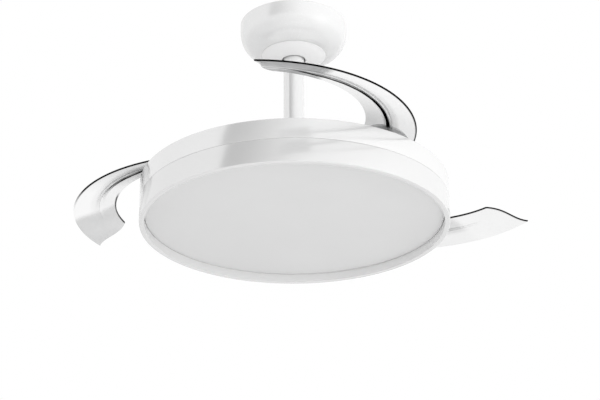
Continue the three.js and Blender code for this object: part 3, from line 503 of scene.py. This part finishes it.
# Starts a tree with named number inputs and a material input.
def startTree(name, sizes):
    tree = bpy.data.node_groups.new(name, "GeometryNodeTree")
    tree.interface.new_socket("Geometry", in_out="INPUT", socket_type="NodeSocketGeometry")
    tree.interface.new_socket("Geometry", in_out="OUTPUT", socket_type="NodeSocketGeometry")
    for label, value in sizes.items():
        kind = "NodeSocketInt" if isinstance(value, int) else "NodeSocketFloat"
        tree.interface.new_socket(label, in_out="INPUT", socket_type=kind).default_value = value
    tree.interface.new_socket("Material", in_out="INPUT", socket_type="NodeSocketMaterial")
    entry = tree.nodes.new("NodeGroupInput")
    leave = tree.nodes.new("NodeGroupOutput")
    return tree, entry, leave


def endTree(tree, entry, leave, geometry):
    realize = tree.nodes.new("GeometryNodeRealizeInstances")
    paint = tree.nodes.new("GeometryNodeSetMaterial")
    tree.links.new(geometry, realize.inputs[0])
    tree.links.new(realize.outputs[0], paint.inputs["Geometry"])
    tree.links.new(entry.outputs["Material"], paint.inputs["Material"])
    tree.links.new(paint.outputs[0], leave.inputs[0])


# Runs a tree with its inputs and gives back a plain mesh object.
def growPiece(name, tree, sizes, material):
    seed = bpy.data.objects.new(name, bpy.data.meshes.new(name))
    bpy.context.scene.collection.objects.link(seed)
    modifier = seed.modifiers.new("grow", "NODES")
    modifier.node_group = tree
    for item in tree.interface.items_tree:
        if item.in_out == "INPUT" and item.name in sizes:
            modifier[item.identifier] = sizes[item.name]
        elif item.in_out == "INPUT" and item.name == "Material":
            modifier[item.identifier] = material
    evaluated = seed.evaluated_get(bpy.context.evaluated_depsgraph_get())
    mesh = bpy.data.meshes.new_from_object(evaluated)
    seed.modifiers.remove(modifier)
    seed.data = mesh
    if not mesh.materials:
        mesh.materials.append(material)
    return seed


cameraValues = {
    "away": 3.0,  # metres in front of the axis
    "below": 1.282,  # metres under the drum's rim
    "tiltUp": 0.4171,
    "roll": -0.0048,
    "focal": 2028.0778 / 600 * 36,
    "shift": (300 - 294.4659) / 600,
}


def placeCamera():
    values = cameraValues
    camera = bpy.data.cameras.new("camera")
    camera.sensor_width = 36
    camera.lens = values["focal"]
    camera.shift_x = values["shift"]
    camera.clip_end = 100
    viewer = bpy.data.objects.new("camera", camera)
    bpy.context.scene.collection.objects.link(viewer)
    viewer.matrix_world = (
        Matrix.Translation((0, -values["away"], height(0) - values["below"]))
        @ Matrix.Rotation(math.pi / 2 + values["tiltUp"], 4, "X")
        @ Matrix.Rotation(values["roll"], 4, "Z"))
    bpy.context.scene.camera = viewer


lightValues = {
    "ambient": 0.78,
    "floorDrop": 6.0,
    "floorHalf": 60,
    "floorTone": 0.928,
    "floorLift": 0.26,  # extra white that only the camera sees, so floor and background join
    "patchTone": 0.05,  # dark wall in front of the fan that only gloss reflects
    "patchLeft": math.radians(-55),
    "patchRight": math.radians(24),
    "patchEdge": math.radians(4),
    "patchFoot": (0.06, 0.2),
    "patchTop": (0.6, 0.8),
}

lampValues = {  # place and size in metres, watts
    "right light": ((2.9, -2.1, -0.35), 1.8, 42),
    "left light": ((-3.2, -0.4, -0.2), 1.8, 8),
    "top light": ((0.3, 1.6, 1.8), 2.0, 14),
    "low light": ((0.4, 0.3, -2.2), 1.8, 8),
    "front light": ((0.5, -2.6, -1.9), 1.2, 13),
}


def softLight(name, place, size, power):
    lamp = bpy.data.lights.new(name, "AREA")
    lamp.shape = "SQUARE"
    lamp.size = size
    lamp.energy = power
    holder = bpy.data.objects.new(name, lamp)
    bpy.context.scene.collection.objects.link(holder)
    holder.visible_camera = False
    holder.visible_glossy = False
    aim = Vector((0, 0, height(120))) - Vector(place)
    turn = aim.to_track_quat("-Z", "Y").to_matrix().to_4x4()
    holder.matrix_world = Matrix.Translation(place) @ turn


# White to the eye, a plain grey where it lights the fan, and for gloss a dark patch in front.
def paintWorld():
    values = lightValues
    world = bpy.data.worlds.new("studio")
    bpy.context.scene.world = world
    world.use_nodes = True
    tree = world.node_tree
    shown = tree.nodes["Background"]
    lighting = tree.nodes.new("ShaderNodeBackground")
    lighting.inputs["Color"].default_value = (1, 1, 1, 1)
    lighting.inputs["Strength"].default_value = values["ambient"]
    rays = tree.nodes.new("ShaderNodeLightPath")
    glossy = Term(tree, rays.outputs["Is Glossy Ray"])
    seen = Term(tree, rays.outputs["Is Camera Ray"])
    seen = seen.calculate("MAXIMUM", glossy)
    seen = seen.calculate("MAXIMUM", Term(tree, rays.outputs["Is Transmission Ray"]))

    place = tree.nodes.new("ShaderNodeTexCoord")
    parts = tree.nodes.new("ShaderNodeSeparateXYZ")
    tree.links.new(place.outputs["Generated"], parts.inputs[0])
    side, depth, up = (Term(tree, parts.outputs[axis]) for axis in "XYZ")
    turn = side.calculate("ARCTAN2", depth * -1)
    window = turn.eased(values["patchLeft"], values["patchLeft"] + values["patchEdge"])
    fadeStart = values["patchLeft"] + 2 * values["patchEdge"]
    window = window * turn.eased(fadeStart, values["patchRight"]).below()
    patch = window * up.eased(*values["patchFoot"]) * up.eased(*values["patchTop"]).below() * glossy
    tone = tree.nodes.new("ShaderNodeMix")
    tone.data_type = "RGBA"
    tone.inputs["A"].default_value = (1, 1, 1, 1)
    tone.inputs["B"].default_value = (*grey(values["patchTone"]), 1)
    tree.links.new(patch.socket, tone.inputs["Factor"])
    tree.links.new(tone.outputs["Result"], shown.inputs["Color"])

    mix = tree.nodes.new("ShaderNodeMixShader")
    tree.links.new(seen.socket, mix.inputs["Fac"])
    tree.links.new(lighting.outputs[0], mix.inputs[1])
    tree.links.new(shown.outputs[0], mix.inputs[2])
    tree.links.new(mix.outputs[0], tree.nodes["World Output"].inputs["Surface"])


def layFloor():
    values = lightValues
    half, level = values["floorHalf"], -values["floorDrop"]
    bm = bmesh.new()
    corners = [(x * half, y * half, level) for x, y in ((-1, -1), (1, -1), (1, 1), (-1, 1))]
    bm.faces.new([bm.verts.new(corner) for corner in corners])
    mesh = bpy.data.meshes.new("floor")
    bm.to_mesh(mesh)
    bm.free()
    paint = wornSurface("pale floor", grey(values["floorTone"] - 0.006),
                        grey(values["floorTone"] + 0.006), (0.75, 0.85), grain=30)
    tree = paint.node_tree
    shader = tree.nodes["Principled BSDF"]
    rays = tree.nodes.new("ShaderNodeLightPath")
    lift = Term(tree, rays.outputs["Is Camera Ray"]) * values["floorLift"]
    tree.links.new(lift.socket, shader.inputs["Emission Strength"])
    shader.inputs["Emission Color"].default_value = (1, 1, 1, 1)
    mesh.materials.append(paint)
    floor = bpy.data.objects.new("floor", mesh)
    bpy.context.scene.collection.objects.link(floor)


placeCamera()
paintWorld()
layFloor()
for name, (place, size, power) in lampValues.items():
    softLight(name, place, size, power)
scene = bpy.context.scene
scene.view_settings.view_transform = "Standard"
print("camera, floor and light ready")


drumValues = {
    "radius": 250,
    "height": 72.5,
    "seam": 39,
    "seamGap": 0.3,
    "spigotDrop": 3.3,
    "wall": 2.5,
    "ledge": 6,
    "ledgeTop": 45.7,
    "rimInner": 241.6,
    "rimTop": 23.7,
    "recess": 14.5,
    "flange": 4.5,
    "bore": 9.3,
    "edge": 1.6,
    "steps": 256,
}


def dressDrum():
    v = drumValues
    gap, wall, seam = v["seamGap"], v["wall"], v["seam"]
    inner = v["radius"] - wall
    spigot = inner - gap
    spigotLow = seam - v["spigotDrop"]
    upper = turned("drum_upper_band", [
        (inner, seam + gap, 0.3), (v["radius"], seam + gap, 0.4), (v["radius"], v["height"], 1.0),
        (inner, v["height"], 0.8),
    ], whiteGloss, 0.4, v["steps"])
    dress(upper, "stem", "white_gloss", "upper_housing")
    joint = turned("seam_ring_smooth", [
        (inner - v["ledge"], v["ledgeTop"] - wall), (spigot - wall, v["ledgeTop"] - wall),
        (spigot - wall, spigotLow), (spigot, spigotLow), (spigot, v["ledgeTop"]),
        (inner - v["ledge"], v["ledgeTop"]),
    ], whiteMatt, 0.4, v["steps"])
    dress(joint, "stem", "white_matt", "seam_ring")
    rim = v["rimInner"]
    # The lower band takes the deeper copy of the enamel white, painted shade.
    lower = turned("drum_lower_band", [
        (rim, 0, 0.7), (v["radius"], 0, v["edge"]), (v["radius"], seam, 0.4), (inner, seam, 0.3),
        (inner, wall), (rim + wall, wall), (rim + wall, v["rimTop"]), (rim, v["rimTop"]),
    ], shadedRingWhite, 0.4, v["steps"])
    dress(lower, "stem", "white_gloss", "lamp_ring")
    outer = rim - gap
    seat = v["rimTop"] + gap
    glow = turned("diffuser_disc", [
        (0, v["recess"], 0), (outer, v["recess"], 0.8), (outer, seat), (outer + v["flange"], seat),
        (outer + v["flange"], seat + 2), (outer - 2, seat + 2), (outer - 2, v["recess"] + 2),
        (0, v["recess"] + 2, 0),
    ], opal, 0.3, v["steps"])
    dress(glow, "stem", "opal", "diffuser")
    low, high = levels("motor_plate")
    disc = turned("motor_plate_disc", [
        (v["bore"], low), (inner - 1, low), (inner - 1, high), (v["bore"], high),
    ], aluminium, 0.5, v["steps"])
    dress(disc, "stem", "aluminium", "motor_plate")


dressDrum()
print("drum ready")


hangValues = {
    "wall": 1.5,
    "gap": 0.3,
    "canopyRadius": 89,
    "canopyFloor": 311,
    "canopyFloorRadius": 50,
    "skirt": 16,
    "hole": 32,
    "capRadius": 53,
    "capHole": 20,
    "capDrop": 9,
    "lip": (8, 9.5),  # from the cap's hole out to the two sides of its upright lip
    "rodRadius": 17.3,
    "rodWall": 2,
    "cupRadius": 34,
    "cupCheek": 12,
}


def canopyCurve(shrink, steps=18):
    v = hangValues
    skirtLow = hangHeight - v["skirt"]
    flat = v["canopyFloorRadius"]
    out = v["canopyRadius"] - flat - shrink
    down = skirtLow - v["canopyFloor"] - shrink
    turns = [math.pi / 2 * i / steps for i in range(steps + 1)]
    return [(flat + out * math.cos(a), skirtLow - down * math.sin(a), 0) for a in turns]


def dressCanopy():
    v = hangValues
    wall = v["wall"]
    top = hangHeight - v["gap"]
    shell = turned("canopy_shell", [
        (v["canopyRadius"], top, 0.5), *canopyCurve(0), (v["hole"], v["canopyFloor"]),
        (v["hole"], v["canopyFloor"] + wall), *reversed(canopyCurve(wall)),
        (v["canopyRadius"] - wall, top, 0.4),
    ], whiteMetal, 0.4, 160)
    dress(shell, "mount", "white_metal", "canopy")
    lid = v["canopyFloor"] - v["gap"]
    hole = v["capHole"]
    span = v["capRadius"] - hole
    lipTop = v["canopyFloor"] + wall
    lipInner, lipOuter = (hole + out for out in v["lip"])

    def dome(radius):
        return lid - v["capDrop"] + v["capDrop"] * ((radius - hole) / span) ** 2

    outside = [(hole + span * s / 12, dome(hole + span * s / 12), 0) for s in range(12)]
    inside = [(r, h + wall, 0) for r, h, _ in reversed(outside[4:11])]
    cap = turned("canopy_cap_ring", [
        *outside, (v["capRadius"], lid - 0.6, 0.3), (v["capRadius"], lid, 0.2),
        (v["capRadius"] - 4, lid, 0), *inside, (lipOuter, dome(lipOuter) + wall, 0),
        (lipOuter, lipTop, 0), (lipInner, lipTop, 0), (lipInner, dome(lipInner) + wall, 0),
        (hole, dome(hole) + wall, 0),
    ], whiteMatt, 0.3, 128)
    dress(cap, "mount", "white_matt", "canopy_cap")


def dressRod():
    v = hangValues
    wall = v["wall"]
    bore = v["rodRadius"] - v["rodWall"]
    low, high = levels("downrod")
    tube = turned("rod_tube", [
        (bore, low), (v["rodRadius"], low), (v["rodRadius"], high), (bore, high),
    ], whiteGloss, 0.5, 96)
    dress(tube, "stem", "white_metal", "downrod")
    low, high = levels("coupling_cover")
    outer, neck = v["cupRadius"], v["rodRadius"] + 0.5
    shoulder = (outer + neck) / 2
    cheek = high - v["cupCheek"]
    cup = turned("coupling_cup", [
        (outer, low, 0.6), (outer, cheek, 8), (shoulder, high - 2.1, 6), (neck, high, 0.6),
        (neck, high - wall, 0.2), (shoulder - wall / 2, high - 2.1 - wall, 6),
        (outer - wall, cheek - wall / 2, 8), (outer - wall, low, 0.5),
    ], whiteMetal, 0.4, 96)
    dress(cup, "stem", "white_metal", "coupling_cover")


ballValues = {
    "radius": 30,
    "bore": 17.6,
    "middle": 18,  # from the foot up to the ball's centre
}


# Ball that lets the rod find its own plumb line.
def dressBall():
    v = ballValues
    low, high = levels("hanger_ball")
    centre = low + v["middle"]
    start, end = math.asin(-v["middle"] / v["radius"]), math.asin((high - centre) / v["radius"])
    turns = [start + (end - start) * k / 24 for k in range(25)]
    outside = [(v["radius"] * math.cos(a), centre + v["radius"] * math.sin(a), 0) for a in turns]
    ball = turned("hanger_ball_smooth", [(v["bore"], low), *outside, (v["bore"], high)],
                  nylon, 0.4, 96)
    dress(ball, "stem", "nylon", "hanger_ball")


coverValues = {
    "bore": 27,
    "rim": 164,
    "skirt": 21,
    "crown": 9,
    "wall": 2.5,
    "boss": (50, 58),
    "bossGap": 0.3,
}


def dressCover():
    v = coverValues
    low = levels("rotor_cover")[0]
    edge = low + v["skirt"]
    bossLow = levels("rotor_bell")[1] + v["bossGap"]
    bore, rim, wall = v["bore"], v["rim"], v["wall"]
    bossInner, bossOuter = v["boss"]

    def dome(radius):
        return edge + v["crown"] * (1 - ((radius - bore) / (rim - bore)) ** 2)

    radii = [bore + (rim - bore) * s / 16 for s in range(1, 16)]
    outside = [(r, dome(r), 0) for r in radii]
    inside = [(r, dome(r) - wall, 0) for r in reversed(radii) if r > bossOuter + 4]
    cover = turned("rotor_dome", [
        (bore, dome(bore), 0.8), *outside, (rim, edge, 2.5), (rim, low, 0.6), (rim - wall, low, 0.6),
        (rim - wall, edge - wall, 1.5), *inside, (bossOuter, dome(bossOuter) - wall),
        (bossOuter, bossLow), (bossInner, bossLow), (bossInner, dome(bossInner) - wall),
        (bore, dome(bore) - wall),
    ], whiteMatt, 0.4, 160)
    dress(cover, "rotor", "white_matt", "rotor_cover")


plateValues = {
    "radius": 232,
    "thickness": 3,
    "bore": 11,
    "windowRadius": 26,
    "windowCircle": 180,
    "windowTurns": (40, 80),  # degrees on from each pivot
    "pinHole": 5.3,
    "bossRadius": 9,
    "hub": (16.3, 21, 8.5),  # bore, outer radius, height
    "postRadius": 5,
    "postCircle": 118,
    "postTurn": 60,
}


# Pressed plate that carries the pivots, with its hub, bosses and stop posts.
def dressRotorPlate():
    v = plateValues
    low, high = levels("rotor_plate")
    top = low + v["thickness"]
    foot = low + 1
    pin, boss = v["pinHole"], v["bossRadius"]
    pivotAngles = [pivotAngle(number) for number in (1, 2, 3)]
    windows = [circle(v["windowRadius"], 64, around(v["windowCircle"], angle + turn))
               for angle in pivotAngles for turn in v["windowTurns"]]
    pins = [circle(pin, 32, around(pivotCircle, angle)) for angle in pivotAngles]
    rim = circle(v["radius"], 256)
    pieces = [flatPlate("plate", [rim, circle(v["bore"], 48), *windows, *pins], low, top, 0.5,
                        aluminium)]
    bore, outer, rise = v["hub"]
    pieces.append(turned("hub", [
        (bore, low + 1.2), (outer, foot), (outer, low + rise), (bore, low + rise),
    ], aluminium, 0.4, 64))
    for angle in pivotAngles:
        pieces.append(turned("boss", [
            (pin, foot), (boss, foot), (boss, top + 1), (pin, top + 1),
        ], aluminium, 0.35, 48, around(pivotCircle, angle)))
        pieces.append(turned("post", [
            (0, foot, 0), (v["postRadius"], foot, 0), (v["postRadius"], high, 0.8), (0, high, 0),
        ], aluminium, 0.3, 40, around(v["postCircle"], angle + v["postTurn"])))
    dress(joined("rotor_plate_pressed", pieces), "rotor", "aluminium", "rotor_plate")


bracketValues = {
    "length": 150,
    "width": 44,
    "sheet": 2.5,
    "slot": (18, 6),
    "slotPlaces": ((50, 13), (-50, 13)),
    "wireHole": (8, (-57, -4)),  # radius and place
    "legPlace": 34.25,
    "legWidth": 34,
    "footPlace": 40,
    "footLength": 14,
    "screwHole": (2.3, 41),
    "seat": (22.3, 36, 12),  # inner and outer radius, height
    "seatArc": (129, 411),
    "ballHeight": 21.2,
    "ballRoom": 30.6,
}


# Folded steel bracket: slotted plate, two legs and the open seat that holds the ball.
def dressBracket():
    v = bracketValues
    low, high = levels("ceiling_bracket")
    sheet = v["sheet"]
    plateLow = high - sheet

    def slab(length, width, corner, centre=(0, 0), steps=8):
        points = []
        for k, (sx, sy) in enumerate(((1, 1), (-1, 1), (-1, -1), (1, -1))):
            for i in range(steps + 1):
                x, y = around(corner, 90 * k + 90 * i / steps)
                points.append((centre[0] + sx * (length / 2 - corner) + x,
                               centre[1] + sy * (width / 2 - corner) + y))
        return points

    slots = [slab(*v["slot"], v["slot"][1] / 2 - 0.01, place) for place in v["slotPlaces"]]
    wireRadius, wirePlace = v["wireHole"]
    pieces = [flatPlate("top", [
        slab(v["length"], v["width"], 8), *slots, circle(wireRadius, 48, wirePlace),
    ], plateLow, high, 0.5, steel)]
    screwRadius, screwPlace = v["screwHole"]
    for side in (-1, 1):
        pieces.append(flatPlate("leg", [
            slab(sheet, v["legWidth"], 0.4, (side * v["legPlace"], 0), 2),
        ], low, plateLow + 1, 0.3, steel))
        pieces.append(flatPlate("foot", [
            slab(v["footLength"], v["legWidth"], 1.5, (side * v["footPlace"], 0)),
            circle(screwRadius, 24, (side * screwPlace, 0)),
        ], low, low + sheet, 0.4, steel))
    seatInner, seatOuter, seatRise = v["seat"]
    seat = [(seatInner, low), (seatOuter, low), (seatOuter, low + seatRise)]
    for k in range(9):
        rise = seatRise - (seatRise - 2.4) * k / 8
        seat.append((math.sqrt(v["ballRoom"] ** 2 - (v["ballHeight"] - rise) ** 2), low + rise, 0))
    pieces.append(turned("seat", seat, steel, 0.4, 96, arc=v["seatArc"]))
    dress(joined("bracket_folded", pieces), "mount", "steel", "ceiling_bracket")


dressCanopy()
dressRod()
dressBall()
dressCover()
dressRotorPlate()
dressBracket()
print("canopy, rod, bracket and rotor plates ready")


bladeSizes = {
    "Pivot Radius": pivotCircle / 1000,
    "Outer Radius": 0.2468,  # just inside the CAD's edge, because the sheet's upper face leans out
    "Taper": 0.012,
    "Slope": math.tan(math.radians(16.3)),
    "Edge Height": height(77.65),
    "Tip Angle": math.radians(95.9),
    "Tip Point": math.radians(2.4),
    "Tip Hook": math.radians(5.65),
    "Root Share": 0.16,
    "Rib Radius": 0.203,
    "Rib Depth": 0.003,
    "Shade Line Width": 0.0027,
    "Root Veil": 0.3,  # how much each face covers what lies behind; set per blade as painted light and shade
    "Middle Veil": 0.12,
    "Tip Veil": 0.3,
    "Shade Side": math.radians(-70),  # painted shade: edges that look this way are painted black
    "Swing": math.radians(53.6),
    "Pivot Angle": 0.0,
    "Stations": 181,
    "Points Across": 97,
}


# A strip on a cone round the fan's axis, with a round root end and a hooked tip.
def bladeTree():
    tree, entry, leave = startTree("clear blade", bladeSizes)
    given = {label: Term(tree, entry.outputs[label]) for label in bladeSizes}
    grid = tree.nodes.new("GeometryNodeMeshGrid")
    tree.links.new(entry.outputs["Stations"], grid.inputs["Vertices X"])
    tree.links.new(entry.outputs["Points Across"], grid.inputs["Vertices Y"])
    position = tree.nodes.new("GeometryNodeInputPosition")
    parts = tree.nodes.new("ShaderNodeSeparateXYZ")
    tree.links.new(position.outputs[0], parts.inputs[0])
    along = Term(tree, parts.outputs["X"]) + 0.5
    across = Term(tree, parts.outputs["Y"]) + 0.5

    width = given["Outer Radius"] - given["Pivot Radius"]
    end = (along / given["Root Share"]).below().clamped() * (math.pi / 2)
    lean = (width / given["Pivot Radius"]) * end.calculate("SINE")
    rootTurn = lean.calculate("ARCSINE")
    offset = given["Pivot Radius"] * rootTurn.calculate("COSINE")
    half = width * end.calculate("COSINE")
    reach = ((along - given["Root Share"]) / (given["Root Share"].below())).clamped()
    inner = offset - half + given["Taper"] * reach * given["Tip Angle"] / (math.pi / 2)
    radius = inner + across * (offset + half - inner)
    tipEdge = given["Tip Angle"] + given["Tip Point"] * across ** 6
    tipEdge = tipEdge - given["Tip Hook"] * across.below() ** 5
    angle = rootTurn - reach * tipEdge

    away = (radius - given["Rib Radius"]).calculate("ABSOLUTE")
    fade = reach.eased(0.10, 0.20) * reach.eased(0.74, 0.93).below()
    drop = away.eased(0.0022, 0.0042).below() * fade * given["Rib Depth"]
    level = given["Edge Height"] + (given["Outer Radius"] - radius) * given["Slope"] - drop

    heading = angle + given["Swing"] + given["Pivot Angle"] - given["Shade Side"]

    # Painted shade: how far a heading at rest turns toward the shade side.
    def darkness(turn, start=-0.25, full=0.15):
        return (heading + turn).calculate("COSINE").eased(start, full)

    def band(gap):
        return gap.eased(0.0006, given["Shade Line Width"]).below()

    # Painted shade lines along the rib and the outer, inner and tip edges, dark where they face the
    # shade side.
    outward = darkness(0)
    ribShadeLine = away.eased(0.0025, 0.0033).below() * reach.eased(0.0, 0.05)
    ribShadeLine = ribShadeLine * reach.eased(0.82, 0.95).below()
    shadeLine = ribShadeLine * darkness(0, -0.1, 0.35)
    shadeLine = shadeLine.calculate("MAXIMUM", band(offset + half - radius) * outward)
    shadeLine = shadeLine.calculate("MAXIMUM", band(radius - inner) * darkness(math.pi, 0.0, 0.2))
    shadeLine = shadeLine.calculate("MAXIMUM", band(reach.below() * tipEdge * radius) * darkness(-math.pi / 2))
    # Painted highlight: a bright band beside the rib, where the outer edge faces the shade side.
    glint = away.eased(0.0035, 0.0041) - away.eased(0.0054, 0.0068)
    glint = glint * reach.eased(0.05, 0.2) * outward
    # Painted shade: a grey band just outside the rib, fading out towards the tip.
    beside = (radius - given["Rib Radius"]) / (given["Outer Radius"] - given["Rib Radius"])
    shade = beside.eased(0.0, 0.08) * beside.eased(0.06, 0.26).below()
    shade = shade * reach.eased(0.4, 0.9).below()
    # Veil from the per-blade values (painted light and shade), halved towards the outer edge as painted
    # light.
    veil = given["Root Veil"] + (given["Middle Veil"] - given["Root Veil"]) * reach.eased(0.1, 0.5)
    veil = veil - veil * 0.5 * beside.eased(0.25, 0.45)
    veil = veil + (given["Tip Veil"] - veil) * reach.eased(0.70, 0.76)

    place = tree.nodes.new("ShaderNodeCombineXYZ")
    tree.links.new((radius * angle.calculate("COSINE")).socket, place.inputs["X"])
    tree.links.new((radius * angle.calculate("SINE")).socket, place.inputs["Y"])
    tree.links.new(level.socket, place.inputs["Z"])

    geometry = grid.outputs["Mesh"]
    for label, value in (("veil", veil), ("shadeLine", shadeLine), ("glint", glint), ("shade", shade)):
        store = tree.nodes.new("GeometryNodeStoreNamedAttribute")
        store.domain = "POINT"
        store.inputs["Name"].default_value = label
        tree.links.new(geometry, store.inputs["Geometry"])
        tree.links.new(value.socket, store.inputs["Value"])
        geometry = store.outputs["Geometry"]
    shape = tree.nodes.new("GeometryNodeSetPosition")
    tree.links.new(geometry, shape.inputs["Geometry"])
    tree.links.new(place.outputs[0], shape.inputs["Position"])
    merge = tree.nodes.new("GeometryNodeMergeByDistance")
    merge.inputs["Distance"].default_value = 1e-5
    tree.links.new(shape.outputs[0], merge.inputs["Geometry"])

    endTree(tree, entry, leave, swungOut(tree, merge.outputs[0], given))
    return tree


# Moves folded geometry to its swing angle about the pivot and to the pivot's own place.
def swungOut(tree, geometry, given):
    for shiftSign, turn in ((-1, "Swing"), (1, "Pivot Angle")):
        move = tree.nodes.new("GeometryNodeTransform")
        shift = tree.nodes.new("ShaderNodeCombineXYZ")
        tree.links.new((given["Pivot Radius"] * shiftSign).socket, shift.inputs["X"])
        tree.links.new(geometry, move.inputs["Geometry"])
        tree.links.new(shift.outputs[0], move.inputs["Translation"])
        rotate = tree.nodes.new("GeometryNodeTransform")
        spin = tree.nodes.new("ShaderNodeCombineXYZ")
        tree.links.new(given[turn].socket, spin.inputs["Z"])
        tree.links.new(move.outputs[0], rotate.inputs["Geometry"])
        tree.links.new(spin.outputs[0], rotate.inputs["Rotation"])
        geometry = rotate.outputs[0]
    return geometry


# Painted light and shade: veil of each blade at root, middle and tip, set per blade as the light falls
# on it at rest.
bladeLitVeils = {1: (0.28, 0.10, 0.85), 2: (0.7, 0.10, 0.30), 3: (0.6, 0.24, 0.08)}


def dressBlades():
    tree = bladeTree()
    for number, veils in bladeLitVeils.items():
        sizes = dict(bladeSizes)
        sizes["Pivot Angle"] = math.radians(pivotAngle(number))
        sizes.update(zip(("Root Veil", "Middle Veil", "Tip Veil"), veils))
        blade = growPiece(f"clear_blade_{number}", tree, sizes, clearAcrylic)
        blade.data.polygons.foreach_set("use_smooth", [True] * len(blade.data.polygons))
        wall = blade.modifiers.new("wall", "SOLIDIFY")
        wall.thickness = 0.0025
        wall.offset = 1
        wall.use_even_offset = True
        dress(blade, f"blade_{number}_body", "clear", f"blade_{number}")


# Height of the blades' underside over a place in plan, for the blade of one pivot.
def undersideAt(number):
    turn = math.radians(pivotAngle(number))
    out = Vector((pivotCircle, 0))
    pivot = Matrix.Rotation(turn, 2) @ out
    back = Matrix.Rotation(-turn, 2) @ Matrix.Rotation(-bladeSizes["Swing"], 2)

    def level(x, y):
        folded = back @ (Vector((x, y)) - pivot) + out
        return bladeEdge[1] + (bladeEdge[0] - folded.length) * bladeSizes["Slope"]

    return level


clampValues = {
    "radius": 30,
    "foot": 3.2,  # above the blade's underside
    "top": 5.2,
    "edge": 0.5,
    "screwHead": 2.9,
    "screwSocket": 1.5,
}

screwSizes = {
    "Pivot Radius": pivotCircle / 1000,
    "Outer Radius": bladeEdge[0] / 1000,
    "Slope": bladeSizes["Slope"],
    "Edge Height": height(bladeEdge[1] + clampValues["top"]),
    "Swing": bladeSizes["Swing"],
    "Pivot Angle": 0.0,
    "Screw Circle": 0.0225,
    "Screws": 4,
}


# Screws on a circle about the pivot, each standing on the sloping clamp.
def screwTree(screw):
    tree, entry, leave = startTree("clamp screws", screwSizes)
    given = {label: Term(tree, entry.outputs[label]) for label in screwSizes}
    points = tree.nodes.new("GeometryNodeMeshCircle")
    tree.links.new(entry.outputs["Screws"], points.inputs["Vertices"])
    tree.links.new(entry.outputs["Screw Circle"], points.inputs["Radius"])
    position = tree.nodes.new("GeometryNodeInputPosition")
    parts = tree.nodes.new("ShaderNodeSeparateXYZ")
    tree.links.new(position.outputs[0], parts.inputs[0])
    x = Term(tree, parts.outputs["X"]) + given["Pivot Radius"]
    y = Term(tree, parts.outputs["Y"])
    radius = (x * x + y * y).calculate("SQRT")
    place = tree.nodes.new("ShaderNodeCombineXYZ")
    level = given["Edge Height"] + (given["Outer Radius"] - radius) * given["Slope"]
    for term, axis in ((x, "X"), (y, "Y"), (level, "Z")):
        tree.links.new(term.socket, place.inputs[axis])
    shape = tree.nodes.new("GeometryNodeSetPosition")
    tree.links.new(points.outputs[0], shape.inputs["Geometry"])
    tree.links.new(place.outputs[0], shape.inputs["Position"])
    source = tree.nodes.new("GeometryNodeObjectInfo")
    source.inputs["Object"].default_value = screw
    each = tree.nodes.new("GeometryNodeInstanceOnPoints")
    each.inputs["Rotation"].default_value = (0, math.atan(bladeSizes["Slope"]), 0)
    tree.links.new(shape.outputs[0], each.inputs["Points"])
    tree.links.new(source.outputs["Geometry"], each.inputs["Instance"])
    endTree(tree, entry, leave, swungOut(tree, each.outputs[0], given))
    return tree


def dressClamps():
    v = clampValues
    zero, head, socket = hangHeight, v["screwHead"], v["screwSocket"]
    screw = turned("screw", [
        (0, zero - 1.2, 0), (head, zero - 1.2, 0), (head, zero + 0.9, 0.5), (socket, zero + 1.3, 0.2),
        (socket, zero + 0.2, 0), (0, zero + 0.2, 0),
    ], steel, 0.3, 24)
    tree = screwTree(screw)
    for number in (1, 2, 3):
        level = undersideAt(number)
        centre = around(pivotCircle, pivotAngle(number))
        clamp = shapedDisc(f"clamp_disc_{number}", centre, v["radius"],
                           lambda x, y: level(x, y) + v["foot"],
                           lambda x, y: level(x, y) + v["top"], v["edge"], frosted)
        dress(clamp, f"blade_{number}_body", clampSlot, f"blade_clamp_{number}")
        sizes = dict(screwSizes)
        sizes["Pivot Angle"] = math.radians(pivotAngle(number))
        dress(growPiece(f"clamp_screws_{number}", tree, sizes, steel), f"blade_{number}_body", "steel")
    bpy.data.objects.remove(screw)


slotOf = {entry["node"]: entry["material_slot"] for entry in frame["record"]["subparts"]}
clampSlot = slotOf["blade_clamp_1"]
dressBlades()
dressClamps()
print("blades and clamps ready")


nodeFinishes = {
    "steel": steel,
    "dark_steel": darkSteel,
    "nylon": nylon,
    "dark_plastic": blackPlastic,
    "brass": brassMetal,
    "white_matt": whiteMatt,
    "white_gloss": whiteGloss,
    "white_metal": whiteMetal,
    "aluminium": aluminium,
    "opal": opal,
    "clear": clearAcrylic,
    "copper": winding,
    "board": ledBoard,
}
ownFinish = {"stator_core": laminated, **{f"blade_arm_{number}": frosted for number in (1, 2, 3)}}


def finishNodes():
    for name, node in frame["nodes"].items():
        material = ownFinish.get(name, nodeFinishes[slotOf[name]])
        node.data.materials.clear()
        node.data.materials.append(material)


finishNodes()
print("nodes painted")
